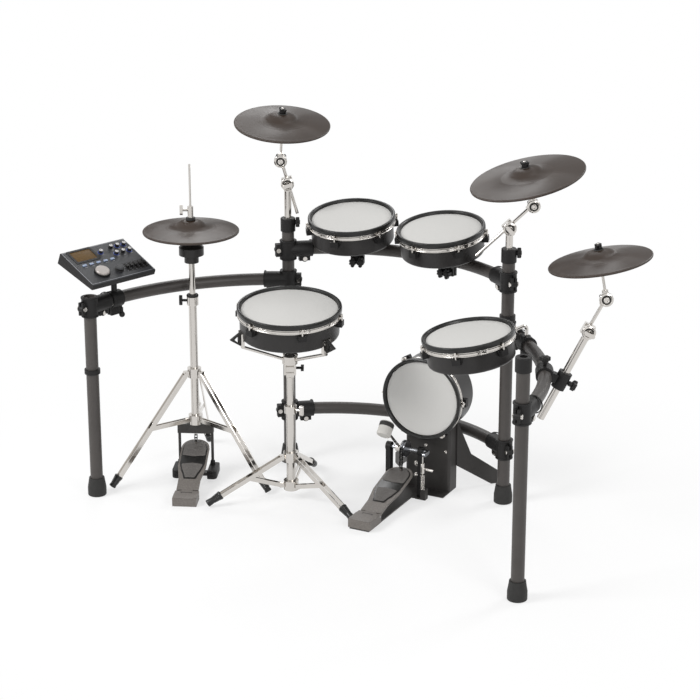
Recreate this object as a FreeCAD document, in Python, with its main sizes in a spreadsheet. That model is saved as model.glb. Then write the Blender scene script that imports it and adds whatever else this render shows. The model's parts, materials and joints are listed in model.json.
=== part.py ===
# Electronic drum kit: a tubular rack with tom pads, cymbal arms and a sound module, and a snare stand,
# a hi-hat stand and a kick tower with its pedal that stand inside it. Millimetres, +Z up.
# +X is the drummer's right and +Y points away from the drummer. The kit is laid out from the floor midway
# between the rear uprights, and at the end it is moved so that the origin lies below its middle.
import FreeCAD, Part
import math
import operator
import os
import Sketcher
from FreeCAD import Placement, Rotation, Vector

PARTS_FOLDER = "parts"
X_AXIS = Vector(1, 0, 0)
Y_AXIS = Vector(0, 1, 0)
Z_AXIS = Vector(0, 0, 1)

doc = FreeCAD.newDocument("drum_kit")
sheet = doc.addObject("Spreadsheet::Sheet", "dims")


# Sizes and the sheet

class Size(float):
    # A length that remembers the sheet expression it comes from.

    def __new__(cls, value, text):
        size = super().__new__(cls, value)
        size.text = text
        return size

    def __add__(self, other):
        return joined(self, other, "+", operator.add)

    def __radd__(self, other):
        return joined(other, self, "+", operator.add)

    def __sub__(self, other):
        return joined(self, other, "-", operator.sub)

    def __rsub__(self, other):
        return joined(other, self, "-", operator.sub)

    def __mul__(self, other):
        return joined(self, other, "*", operator.mul)

    def __rmul__(self, other):
        return joined(other, self, "*", operator.mul)

    def __truediv__(self, other):
        return joined(self, other, "/", operator.truediv)

    def __rtruediv__(self, other):
        return joined(other, self, "/", operator.truediv)

    def __neg__(self):
        return joined(0, self, "-", operator.sub)


def text_of(value):
    return value.text if isinstance(value, Size) else repr(float(value))


def joined(left, right, sign, operation):
    text = f"({text_of(left)} {sign} {text_of(right)})"
    return Size(operation(float(left), float(right)), text)


def diagonal(across, up):
    return Size(math.hypot(across, up), f"sqrt({text_of(across)} ^ 2 + {text_of(up)} ^ 2)")


def arc_angle(length, radius):
    # Degrees that an arc of this length takes on this radius.
    return Size(math.degrees(length / radius), f"({text_of(length)} / {text_of(radius)} * 180 deg / pi)")


class Dimensions:
    pass


# Driving sizes. Each becomes a row of the sheet, with its name as the alias.

# Fits and cuts
cut_overrun = 5
seat_gap = 0.1
moving_gap = 0.3
running_gap = 0.05

# Rack tubes
tube_diameter = 38
tube_wall = 2
rear_span = 740
rear_height = 778
left_leg_out = 768
left_leg_front = 513
right_leg_out = 676
right_leg_front = 615

# Rack feet
foot_diameter = 57
foot_neck_diameter = 47
foot_height = 57
foot_sole = 10
foot_band = 26

# Rack bars
rail_drop = 73
floor_bar_height = 175
rear_bulge = 138
left_arm_below_rail = 97
right_arm_below_rail = 155
left_arm_drop = 32
right_arm_drop = 130
arm_bulge = 84

# Rack clamps
clamp_wall = 6
clamp_height = 62
clamp_reach = 76
ear_width = 18
ear_reach = 15
ear_height = 40
ear_slit = 4
socket_ear_start = 34
socket_ear_length = 34
socket_ear_drop = 13

# Clamp bolts
bolt_radius = 3.5
bolt_head_radius = 7
bolt_head_height = 6
bolt_nut_height = 4

# Rack collars
collar_radius = 23
collar_height = 42
collar_skirt = 13
collar_round = 3
ring_height = 14
ring_wall = 5
left_ring_height = 396
right_ring_lift = 6

# Wing knobs
knob_stem_radius = 4
knob_stem_length = 14
knob_length = 32
knob_width = 12
knob_thickness = 9

# Drum pads
rim_width = 11
rim_rise = 9
rim_seat = 7
rim_round = 4
neck_inset = 13
neck_depth = 22
head_thickness = 1
flesh_depth = 9
flesh_height = 5
flesh_width = 4.5
band_inset = 2.5
band_wall = 3
band_depth = 20
band_flange = 2
band_flange_height = 3
body_inset = 8
body_round = 9
shell_wall = 5
shell_floor = 5

# Drum lugs
lug_width = 25
lug_height = 17
lug_reach = 8
lug_drop = 23
screw_reach = 4
screw_radius = 3
screw_head_radius = 3.5
screw_head_height = 5
screw_top = 3
hook_width = 19
hook_height = 7
hook_top = 8.5
hook_reach = 6.5
hook_inset = 2.3

# Triggers inside the pads
trigger_bar_width = 22
trigger_bar_height = 5
trigger_drop = 40
cone_base_radius = 22
cone_tip_radius = 7
cone_gap = 0.4

# Pad sizes
tom_radius = 135
tom_depth = 76
snare_radius = 157
snare_depth = 83
kick_radius = 129
kick_depth = 118

# Tom places
tom_rise = 110
tom_one_x = -182
tom_one_y = 64
tom_two_x = 119
tom_two_y = 66
tom_three_inset = 297
tom_three_setback = 308
tom_three_rise = 81
tom_three_arm_along = 128

# Tom clamps
rail_clamp_wall = 7
rail_clamp_length = 42
pivot_drop = 9
pivot_radius = 7
pivot_pin_radius = 3
pivot_boss = 16
bracket_ear = 5
neck_width = 14
rail_ear_drop = 22
rail_ear_width = 20
knob_spread = 24

# L-rod of the third tom
rod_radius = 5.5
rod_bend = 14
rod_drop = 48
rod_bracket_length = 28
rod_bracket_width = 30
rod_bracket_height = 26

# Snare place
snare_x = -220
snare_y = -269
snare_head_rise = 195

# Cymbals
crash_radius = 147
ride_radius = 172
bell_radius = 40
bell_rise = 15
bow_rise = 20
cymbal_thickness = 5
cymbal_edge = 4
cymbal_lip = 9
cymbal_hole = 6.5
bow_curve = 620
bell_curve = 50

# Cymbal masts
mast_radius = 11
mast_wall = 1.5
mast_plug = 150
left_mast_rise = 137
ride_mast_rise = 90
mast_neck = 22
tilter_radius = 17
tilter_width = 12
tilter_pin_radius = 3

# Cymbal booms
boom_radius = 5
boom_block = 32
boom_block_width = 18
left_boom_reach = 52
left_boom_tail = 104
ride_boom_reach = 73
ride_boom_tail = 132
crash_boom_reach = 80
crash_boom_tail = 18

# Cymbal posts
post_radius = 4
post_collar_radius = 9
post_collar_height = 6
left_seat_height = 150
ride_seat_height = 118
crash_seat_height = 140
post_seat_radius = 8
post_seat_flare = 13
post_seat_height = 14
rock_gap = 0.8
stop_radius = 10
stop_height = 16
stop_waist = 8

# Crash arm on the right arm
crash_outset = 43
crash_setback = 368
crash_rise = 125
crash_clamp_below = 160
crash_mast_length = 288
crash_clamp_length = 52
crash_clamp_wall = 9

# Kick tower
kick_x = 121
kick_pad_front = -62
kick_pad_height = 313
tower_front = -14
tower_width = 150
tower_height = 236
tower_depth = 52
tower_sheet = 3
tower_fold = 8
tower_leg_length = 150
tower_leg_root = 150
tower_leg_lift = 75
tower_leg_knee = 48
tower_leg_knee_height = 108
tower_leg_tip = 34
tower_leg_sheet = 4

# Kick pedal frame
pedal_x = 76
pedal_axle_y = -80
pedal_axle_height = 150
pedal_post_spread = 108
pedal_post_width = 16
pedal_post_depth = 20
pedal_head_height = 28
pedal_plate = 4
pedal_heel_y = -394
pedal_heel_length = 74
pedal_heel_width = 74
pedal_heel_height = 26
pedal_plate_width = 64

# Kick footboard
board_length = 246
board_heel_width = 68
board_toe_width = 88
board_thickness = 7
board_shoulder = 62
board_swell = 120
board_toe_round = 40
board_hinge_radius = 6
board_pin_radius = 3
board_hinge_height = 20
toe_loop = 12
toe_setback = 18

# Kick axle and beater
axle_radius = 6
axle_end = 17
cam_radius = 26
cam_width = 14
cam_groove = 4
crank_length = 24
crank_width = 12
beater_stem_radius = 4
beater_stem_length = 140
beater_head_radius = 22
beater_head_length = 44
beater_clamp_radius = 12
beater_clamp_width = 22

# Roller chains
chain_pitch = 9.5
chain_plate_height = 7.6
chain_plate = 1.2
chain_roller_radius = 2.4
chain_inside = 5
chain_pin_radius = 1.4

# Kick spring
spring_radius = 7
spring_wire = 1.1
spring_length = 46
spring_foot_height = 34
spring_rod = 2

# Stand legs
leg_bar_width = 13
leg_bar_sheet = 3
leg_bar_spread = 17
leg_knee_share = 0.52
boot_radius = 12
boot_height = 22
boot_round = 3
stand_hub_height = 30
stand_hub_wall = 9

# Hi-hat stand
hihat_x = -578
hihat_y = -234
hihat_tube_radius = 12.5
hihat_tube_wall = 1.5
hihat_tube_top = 575
hihat_hub_height = 342
hihat_leg_radius = 266
hihat_upper_radius = 9.5
hihat_upper_bottom = 440
hihat_upper_top = 698
hihat_collar_radius = 18
hihat_collar_height = 26

# Hi-hat rod, clutch and controller
pull_rod_radius = 3.2
pull_rod_top = 1005
hihat_rim_height = 795
hihat_clutch_radius = 9
hihat_clutch_length = 44
hihat_nut_radius = 13
hihat_nut_height = 9
control_foot_radius = 22
control_foot_height = 24
control_cup_radius = 38
control_cup_height = 24
control_cone_height = 20
control_top_radius = 14

# Hi-hat pedal
hihat_bar_length = 112
hihat_bar_depth = 24
hihat_bar_bottom = 142
hihat_bar_height = 30
hihat_frame_rod_radius = 4.5
hihat_base_height = 10
hihat_hinge_y = -200
hihat_board_length = 244
hihat_heel_length = 62
hihat_link_width = 30

# Snare stand
snare_tube_radius = 14
snare_tube_wall = 1.5
snare_tube_bottom = 30
snare_tube_top = 292
snare_upper_radius = 11
snare_upper_bottom = 180
snare_knuckle_rise = 28
snare_hub_height = 139
snare_leg_radius = 232
snare_strut_height = 46
snare_collar_radius = 19
snare_collar_height = 24

# Snare basket
basket_pivot_height = 424
basket_hub_radius = 24
basket_hub_height = 26
basket_arm_radius = 5
basket_arm_drop = 22
basket_hook_width = 34
basket_hook_depth = 5
basket_hook_height = 20
basket_loop_reach = 30
basket_loop_wall = 6
basket_loop_thickness = 9

# Module
module_inset = 25
module_setback = 70
module_rise = 125
module_width = 236
module_depth = 170
module_rear = 38
module_front = 17
module_round = 4
module_screen_width = 76
module_screen_depth = 50
module_screen_recess = 1.5
module_screen_left = -94
module_screen_back = 76

# Module holder
holder_post_radius = 9
holder_from_leg = 102
holder_plate_width = 84
holder_plate_depth = 62
holder_plate_sheet = 4

# Module controls
dial_radius = 22
dial_height = 12
dial_x = -52
dial_y = -40
small_knob_radius = 6.5
small_knob_height = 9
second_dial_radius = 10
second_dial_x = 8
second_dial_y = -46
button_width = 13
button_depth = 7
button_height = 3
button_press = 1.5
button_pitch = 26
button_left = -90
button_y = 6
fader_width = 9
fader_depth = 7
fader_height = 7
fader_pitch = 16
fader_left = 40
fader_y = -44
fader_slot_length = 34
fader_slot_width = 3
fader_slot_depth = 4

sizes = {name: value for name, value in globals().items() if isinstance(value, (int, float))}
d = Dimensions()
for row, (name, value) in enumerate(sizes.items(), 1):
    sheet.set(f"A{row}", name)
    sheet.set(f"B{row}", str(value))
    sheet.setAlias(f"B{row}", name)
    setattr(d, name, Size(value, f"dims.{name}"))

# Heights and places that follow the rack and the pivot of the snare stand
d.rail_height = d.rear_height - d.rail_drop
d.left_arm_height = d.rail_height - d.left_arm_below_rail
d.right_arm_height = d.rail_height - d.right_arm_below_rail
d.left_leg_height = d.left_arm_height + d.left_arm_drop
d.right_leg_height = d.right_arm_height + d.right_arm_drop
d.tom_height = d.rail_height + d.tom_rise
d.left_mast_height = d.rear_height + d.left_mast_rise
d.ride_mast_height = d.rear_height + d.ride_mast_rise
d.tom_three_x = d.right_leg_out - d.tom_three_inset
d.tom_three_y = d.tom_three_setback - d.right_leg_front
d.tom_three_height = d.right_arm_height + d.tom_three_rise
d.crash_tilter_x = d.right_leg_out + d.crash_outset
d.crash_tilter_y = d.crash_setback - d.right_leg_front
d.crash_tilter_height = d.right_arm_height + d.crash_rise
d.module_x = d.module_inset - d.left_leg_out
d.module_y = d.module_setback - d.left_leg_front
d.module_height = d.left_arm_height + d.module_rise
d.snare_head_height = d.basket_pivot_height + d.snare_head_rise
d.snare_upper_top = d.basket_pivot_height - d.snare_knuckle_rise

# Angles are degrees: how far a pad, boom, post or stand leans, and the compass heading of the lean from +X.
tom_lean, tom_one_heading, tom_two_heading = 8.5, -86, -104
tom_three_lean, rod_slope = 6, 6.4
snare_lean, snare_heading, snare_first_lug = 5.2, -63, 15
view_heading = 27
left_boom_lean, ride_boom_lean, crash_mast_lean, crash_boom_lean = -16, 46.6, 26.3, 27.5
left_cymbal_lean, left_cymbal_heading = 9.6, -44
ride_cymbal_lean, ride_cymbal_heading = 13.9, -133
crash_cymbal_lean, crash_cymbal_heading = 10.5, -166
tower_leg_splay = 45
beater_rest_lean = 47
hihat_heading = 22.4
hihat_leg_angles = (90, -30, -150)
snare_leg_angles = (-17.5, -137.5, 102.5)
basket_arm_angles = (-15, -135, 105)
module_heading, module_lean = 71, 23
lug_count = 6
chain_links = 7
hihat_chain_links = 2
spring_turns = 9


# Places

def spot(x=0, y=0, z=0):
    return Placement(Vector(x, y, z), Rotation())


def turned(axis, angle):
    return Placement(Vector(), Rotation(axis, angle))


def leaning(place, heading, lean):
    # The place with its Z axis leaning towards a compass heading; X then points down that heading.
    return place * turned(Z_AXIS, heading) * turned(Y_AXIS, lean)


def facing(place, z_direction, y_hint):
    # A frame at a place whose Z is given and whose Y is as near as possible to the hint.
    z_unit = Vector(z_direction).normalize()
    y_unit = (y_hint - z_unit * y_hint.dot(z_unit)).normalize()
    return Placement(place, Rotation(y_unit.cross(z_unit), y_unit, z_unit, "ZYX"))


along_x = turned(Y_AXIS, 90)
along_y = turned(X_AXIS, -90)


# Solids bound to the sheet

def bind(obj, **properties):
    for name, size in properties.items():
        if isinstance(size, Size):
            obj.setExpression(name, size.text)
        else:
            setattr(obj, name, size)
    return obj


def moved(obj, place):
    obj.Placement = place
    return obj


def cylinder(name, radius, height, place=Placement()):
    return moved(bind(doc.addObject("Part::Cylinder", name), Radius=radius, Height=height), place)


def box(name, length, width, height, place=Placement()):
    # A block centred on X and Y that stands on its XY plane.
    block = bind(doc.addObject("Part::Box", name), Length=length, Width=width, Height=height)
    return moved(block, place * spot(-length / 2, -width / 2))


def torus(name, ring, section, angle, place=Placement()):
    return moved(bind(doc.addObject("Part::Torus", name), Radius1=ring, Radius2=section, Angle3=angle),
                 place)


def fused(name, *pieces):
    group = doc.addObject("Part::MultiFuse", name)
    group.Shapes = list(pieces)
    return group


def cut(name, base, *tools):
    result = doc.addObject("Part::Cut", name)
    result.Base = base
    result.Tool = tools[0] if len(tools) == 1 else fused(f"{name}_tools", *tools)
    return result


def mirrored(name, source, normal):
    mirror = doc.addObject("Part::Mirroring", name)
    mirror.Source = source
    mirror.Normal = normal
    return mirror


def add_arc(sketch, start, stop, radius):
    # A positive radius turns left on the way from start to stop, a negative one turns right.
    chord = stop - start
    side = Vector(-chord.y, chord.x, 0).normalize()
    rise = math.sqrt(max(radius * radius - chord.Length ** 2 / 4, 0))
    centre = start + chord * 0.5 + side * math.copysign(rise, radius)
    first = math.atan2(start.y - centre.y, start.x - centre.x)
    last = math.atan2(stop.y - centre.y, stop.x - centre.x)
    left_turn = radius > 0
    size = radius if left_turn else -radius
    circle = Part.Circle(centre, Z_AXIS, float(size))
    limits = (first, last) if left_turn else (last, first)
    index = sketch.addGeometry(Part.ArcOfCircle(circle, *limits), False)
    number = sketch.addConstraint(Sketcher.Constraint("Radius", index, float(size)))
    sketch.setExpression(f"Constraints[{number}]", text_of(size))
    return (1, 2) if left_turn else (2, 1)


def outline_sketch(body, plane, outline):
    # A closed outline of points (x, y), or (x, y, radius) where an arc leads on to the next point.
    sketch = body.newObject("Sketcher::SketchObject", f"{body.Name}_outline")
    support = [feature for feature in body.Origin.OriginFeatures if feature.Role == plane]
    sketch.AttachmentSupport = [(support[0], "")]
    sketch.MapMode = "FlatFace"
    ends = []
    for index, point in enumerate(outline):
        start = Vector(point[0], point[1], 0)
        following = outline[(index + 1) % len(outline)]
        stop = Vector(following[0], following[1], 0)
        if len(point) == 3:
            ends.append(add_arc(sketch, start, stop, point[2]))
        else:
            sketch.addGeometry(Part.LineSegment(start, stop), False)
            ends.append((1, 2))
    for index, (first, last) in enumerate(ends):
        after = (index + 1) % len(ends)
        sketch.addConstraint(Sketcher.Constraint("Coincident", index, last, after, ends[after][0]))
    for index, point in enumerate(outline):
        for kind, size in (("DistanceX", point[0]), ("DistanceY", point[1])):
            rule = Sketcher.Constraint(kind, -1, 1, index, ends[index][0], float(size))
            number = sketch.addConstraint(rule)
            sketch.setExpression(f"Constraints[{number}]", text_of(size))
    return sketch


def revolved(name, outline):
    # An outline of (radius, height) points turned about Z.
    body = doc.addObject("PartDesign::Body", name)
    sketch = outline_sketch(body, "XZ_Plane", outline)
    turn = body.newObject("PartDesign::Revolution", f"{name}_turn")
    turn.Profile = sketch
    turn.ReferenceAxis = (sketch, ["V_Axis"])
    turn.Angle = 360
    return body


def padded(name, outline, thickness):
    # An outline in the XY plane, thickened upwards.
    body = doc.addObject("PartDesign::Body", name)
    sketch = outline_sketch(body, "XY_Plane", outline)
    pad = body.newObject("PartDesign::Pad", f"{name}_pad")
    pad.Profile = sketch
    return bind(pad, Length=thickness) and body


def ring(name, outer, inner, height):
    return revolved(name, [(inner, 0), (outer, 0), (outer, height), (inner, height)])


def stadium(name, length, width, thickness):
    # A bar with round ends, along X.
    end = (length - width) / 2
    half = width / 2
    outline = [(-end, -half), (end, -half, half), (end + half, 0, half), (end, half), (-end, half, half),
               (-end - half, 0, half)]
    return padded(name, outline, thickness)


nodes = []


def node(label, *pieces):
    # A sub-part: one solid, or a group of separate solids, each a (solid, place) pair or a solid in place.
    group = doc.addObject("Part::Compound", label)
    links = []
    for piece in pieces:
        solid, place = piece if isinstance(piece, tuple) else (piece, piece.Placement)
        link = doc.addObject("App::Link", f"{label}_piece")
        link.LinkedObject = solid
        link.Placement = place
        links.append(link)
    group.Links = links
    group.Label = label
    nodes.append(group)
    return group


# The joint frames of the moving bodies: Z of a hinge frame lies along its axis.
frames = {}

# Wing knob: its stem leaves the origin along Z and carries a flat oval head
knob_head = stadium("knob_head", d.knob_length, d.knob_width, d.knob_thickness)
knob_head.Placement = spot(z=d.knob_stem_length)
wing_knob = fused("wing_knob", cylinder("knob_stem", d.knob_stem_radius, d.knob_stem_length), knob_head)

# Clamp bolt along Z, with its nut below the origin and its head above the clamped width
bolt = revolved("clamp_bolt", [
    (0, -d.bolt_nut_height), (d.bolt_head_radius, -d.bolt_nut_height), (d.bolt_head_radius, 0),
                               (d.bolt_radius, 0),
    (d.bolt_radius, d.ear_width), (d.bolt_head_radius, d.ear_width),
    (d.bolt_head_radius, d.ear_width + d.bolt_head_height), (0, d.ear_width + d.bolt_head_height)])


# Rack

tube_radius = d.tube_diameter / 2
sleeve_radius = tube_radius + d.clamp_wall
rear_left = Vector(-d.rear_span / 2, 0, 0)
rear_right = Vector(d.rear_span / 2, 0, 0)
left_leg = Vector(-d.left_leg_out, -d.left_leg_front, 0)
right_leg = Vector(d.right_leg_out, -d.right_leg_front, 0)


def upright(name, top, foot):
    tube = ring(name, tube_radius, tube_radius - d.tube_wall, top - d.foot_sole)
    return tube, spot(foot.x, foot.y, d.foot_sole)


node("rack_uprights",
     upright("left_leg_tube", d.left_leg_height, left_leg),
     upright("rear_left_tube", d.rear_height, rear_left),
     upright("rear_right_tube", d.rear_height, rear_right),
     upright("right_leg_tube", d.right_leg_height, right_leg))

foot_radius = d.foot_diameter / 2
rubber_foot = revolved("rubber_foot", [
    (0, 0), (foot_radius - d.collar_round, 0, d.collar_round), (foot_radius, d.collar_round),
    (foot_radius, d.foot_band), (d.foot_neck_diameter / 2, d.foot_height),
    (tube_radius + d.seat_gap, d.foot_height), (tube_radius + d.seat_gap, d.foot_sole), (0, d.foot_sole)])
node("rack_feet", *[(rubber_foot, spot(foot.x, foot.y))
                    for foot in (left_leg, rear_left, rear_right, right_leg)])


class Bar:
    # A tube bent to an arc that bulges away from the drummer, swept counter-clockwise from start to stop.

    def __init__(self, name, start, stop, chord, bulge):
        self.radius = (chord * chord / 4 + bulge * bulge) / (2 * bulge)
        half_sine = chord / (2 * self.radius)
        self.sweep = Size(math.degrees(2 * math.asin(half_sine)), f"2 * asin({half_sine.text})")
        run = stop - start
        inward = Vector(-run.y, run.x, 0).normalize()
        self.centre = (start + stop) * 0.5 + inward * (self.radius - bulge)
        self.first = math.degrees(math.atan2(start.y - self.centre.y, start.x - self.centre.x))
        setback = arc_angle(sleeve_radius, self.radius)
        span = self.sweep - 2 * setback
        outside = torus(f"{name}_outside", self.radius, tube_radius, span)
        inside = torus(f"{name}_inside", self.radius, tube_radius - d.tube_wall, span)
        self.tube = cut(f"{name}_tube", outside, inside)
        self.tube_turn = self.first + setback
        self.clamp = bar_clamp(f"{name}_clamp", self.radius, setback)
        self.far_clamp = mirrored(f"{name}_far_clamp", self.clamp, Y_AXIS)

    def tube_at(self, height):
        return self.tube, spot(self.centre.x, self.centre.y, height) * turned(Z_AXIS, self.tube_turn)

    def frame(self, along, height):
        # On the tube's axis, this far along it: X points away from the arc's centre and Y on along the tube.
        place = spot(self.centre.x, self.centre.y, height)
        return place * turned(Z_AXIS, self.first + arc_angle(along, self.radius)) * spot(self.radius)

    def bore(self, name, frame, length):
        # The hollow of a clamp on the bar, a bent cylinder of this length about the frame.
        angle = arc_angle(length, self.radius)
        return torus(name, self.radius, tube_radius + d.seat_gap, angle,
                     frame * spot(-self.radius) * turned(Z_AXIS, -angle / 2))

    def end_frames(self, height):
        return self.frame(0, height), self.frame(self.radius * math.radians(self.sweep), height)


def bar_clamp(name, radius, setback):
    # A split sleeve round the upright and a split socket round the bar's end, which leaves along +Y.
    reach = arc_angle(d.clamp_reach, radius)
    at_centre = spot(-radius)
    low = d.clamp_height / 2
    sleeve = cylinder(f"{name}_sleeve", sleeve_radius, d.clamp_height, spot(z=-low))
    socket = torus(f"{name}_socket", radius, sleeve_radius, reach, at_centre)
    ear_length = sleeve_radius + d.ear_reach
    ear = box(f"{name}_ear", d.ear_width, ear_length, d.ear_height,
              spot(0, -ear_length / 2, -d.ear_height / 2))
    under = sleeve_radius + d.socket_ear_drop
    middle = d.socket_ear_start + d.socket_ear_length / 2
    lower_ear = box(f"{name}_lower_ear", d.ear_width, d.socket_ear_length, under, spot(0, middle, -under))
    blank = fused(f"{name}_blank", sleeve, socket, ear, lower_ear)
    full = d.clamp_height + 2 * d.cut_overrun
    bore = cylinder(f"{name}_bore", tube_radius + d.seat_gap, full, spot(z=-full / 2))
    bar_bore = torus(f"{name}_bar_bore", radius, tube_radius + d.seat_gap, reach,
                     at_centre * turned(Z_AXIS, setback))
    slit = box(f"{name}_slit", d.ear_slit, ear_length + d.cut_overrun, full,
               spot(0, -(ear_length + d.cut_overrun) / 2, -full / 2))
    lower_slit = box(f"{name}_lower_slit", d.ear_slit, d.clamp_reach, under + d.cut_overrun,
                     spot(0, sleeve_radius + d.clamp_reach / 2, -under - d.cut_overrun))
    hole = d.bolt_radius + d.seat_gap
    across = along_x * spot(z=-d.ear_width)
    holes = [cylinder(f"{name}_hole", hole, 2 * d.ear_width, place * across) for place in bolt_places()]
    return cut(name, blank, bore, bar_bore, slit, lower_slit, *holes)


def bolt_places():
    # Middles of the two bolts of a clamp, in the clamp's frame.
    sleeve_bolt = spot(0, -sleeve_radius - d.ear_reach / 2, 0)
    socket_bolt = spot(0, d.socket_ear_start + d.socket_ear_length / 2,
                       -sleeve_radius - d.socket_ear_drop / 2)
    return sleeve_bolt, socket_bolt


rear_bar = Bar("rear_bar", rear_right, rear_left, d.rear_span, d.rear_bulge)
left_arm = Bar("left_arm", rear_left, left_leg,
               diagonal(d.left_leg_out - d.rear_span / 2, d.left_leg_front), d.arm_bulge)
right_arm = Bar("right_arm", right_leg, rear_right,
                diagonal(d.right_leg_out - d.rear_span / 2, d.right_leg_front), d.arm_bulge)
bar_heights = ((rear_bar, d.rail_height), (rear_bar, d.floor_bar_height), (left_arm, d.left_arm_height),
               (right_arm, d.right_arm_height))
node("rack_bars", *[bar.tube_at(height) for bar, height in bar_heights])

rack_clamps = []
rack_bolts = []
bolt_across = along_x * spot(z=-d.ear_width / 2)
for bar, height in bar_heights:
    near_end, far_end = bar.end_frames(height)
    rack_clamps += [(bar.clamp, near_end), (bar.far_clamp, far_end)]
    for place in bolt_places():
        offset = place.Base
        rack_bolts.append((bolt, near_end * place * bolt_across))
        rack_bolts.append((bolt, far_end * spot(offset.x, -offset.y, offset.z) * bolt_across))
node("rack_clamps", *rack_clamps)
node("rack_bolts", *rack_bolts)

# Mast collars on the tube tops, the left and right ones with a wing knob, and two height rings
mast_bore = d.mast_radius + d.running_gap
collar_blank = revolved("collar_blank", [
    (tube_radius + d.seat_gap, 0), (d.collar_radius, 0), (d.collar_radius, d.collar_height - d.collar_round,
                                                         d.collar_round),
    (d.collar_radius - d.collar_round, d.collar_height), (mast_bore, d.collar_height),
                                         (mast_bore, d.collar_skirt),
    (tube_radius + d.seat_gap, d.collar_skirt)])
knob_height = (d.collar_skirt + d.collar_height) / 2
knob_seat = along_x * spot(z=mast_bore + d.moving_gap)
collar_hole = cylinder("collar_hole", d.knob_stem_radius + d.seat_gap, d.collar_radius,
                       spot(z=knob_height) * along_x)
knob_collar = cut("knob_collar", collar_blank, collar_hole)
height_ring = ring("height_ring", tube_radius + d.ring_wall, tube_radius + d.seat_gap, d.ring_height)
rear_collar_base = d.rear_height - d.collar_skirt
right_ring_base = d.right_arm_height + d.clamp_height / 2 + d.right_ring_lift
rear_collars = [spot(foot.x, foot.y, rear_collar_base) * turned(Z_AXIS, view_heading)
                for foot in (rear_left, rear_right)]
rack_collars = [(knob_collar, place) for place in rear_collars]
rack_collars += [(collar_blank, spot(right_leg.x, right_leg.y, d.right_leg_height - d.collar_skirt)),
                 (height_ring, spot(left_leg.x, left_leg.y, d.left_ring_height)),
                 (height_ring, spot(rear_right.x, rear_right.y, right_ring_base))]
collar_knobs = [(wing_knob, place * spot(z=knob_height) * knob_seat) for place in rear_collars]


# Pads

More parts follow.
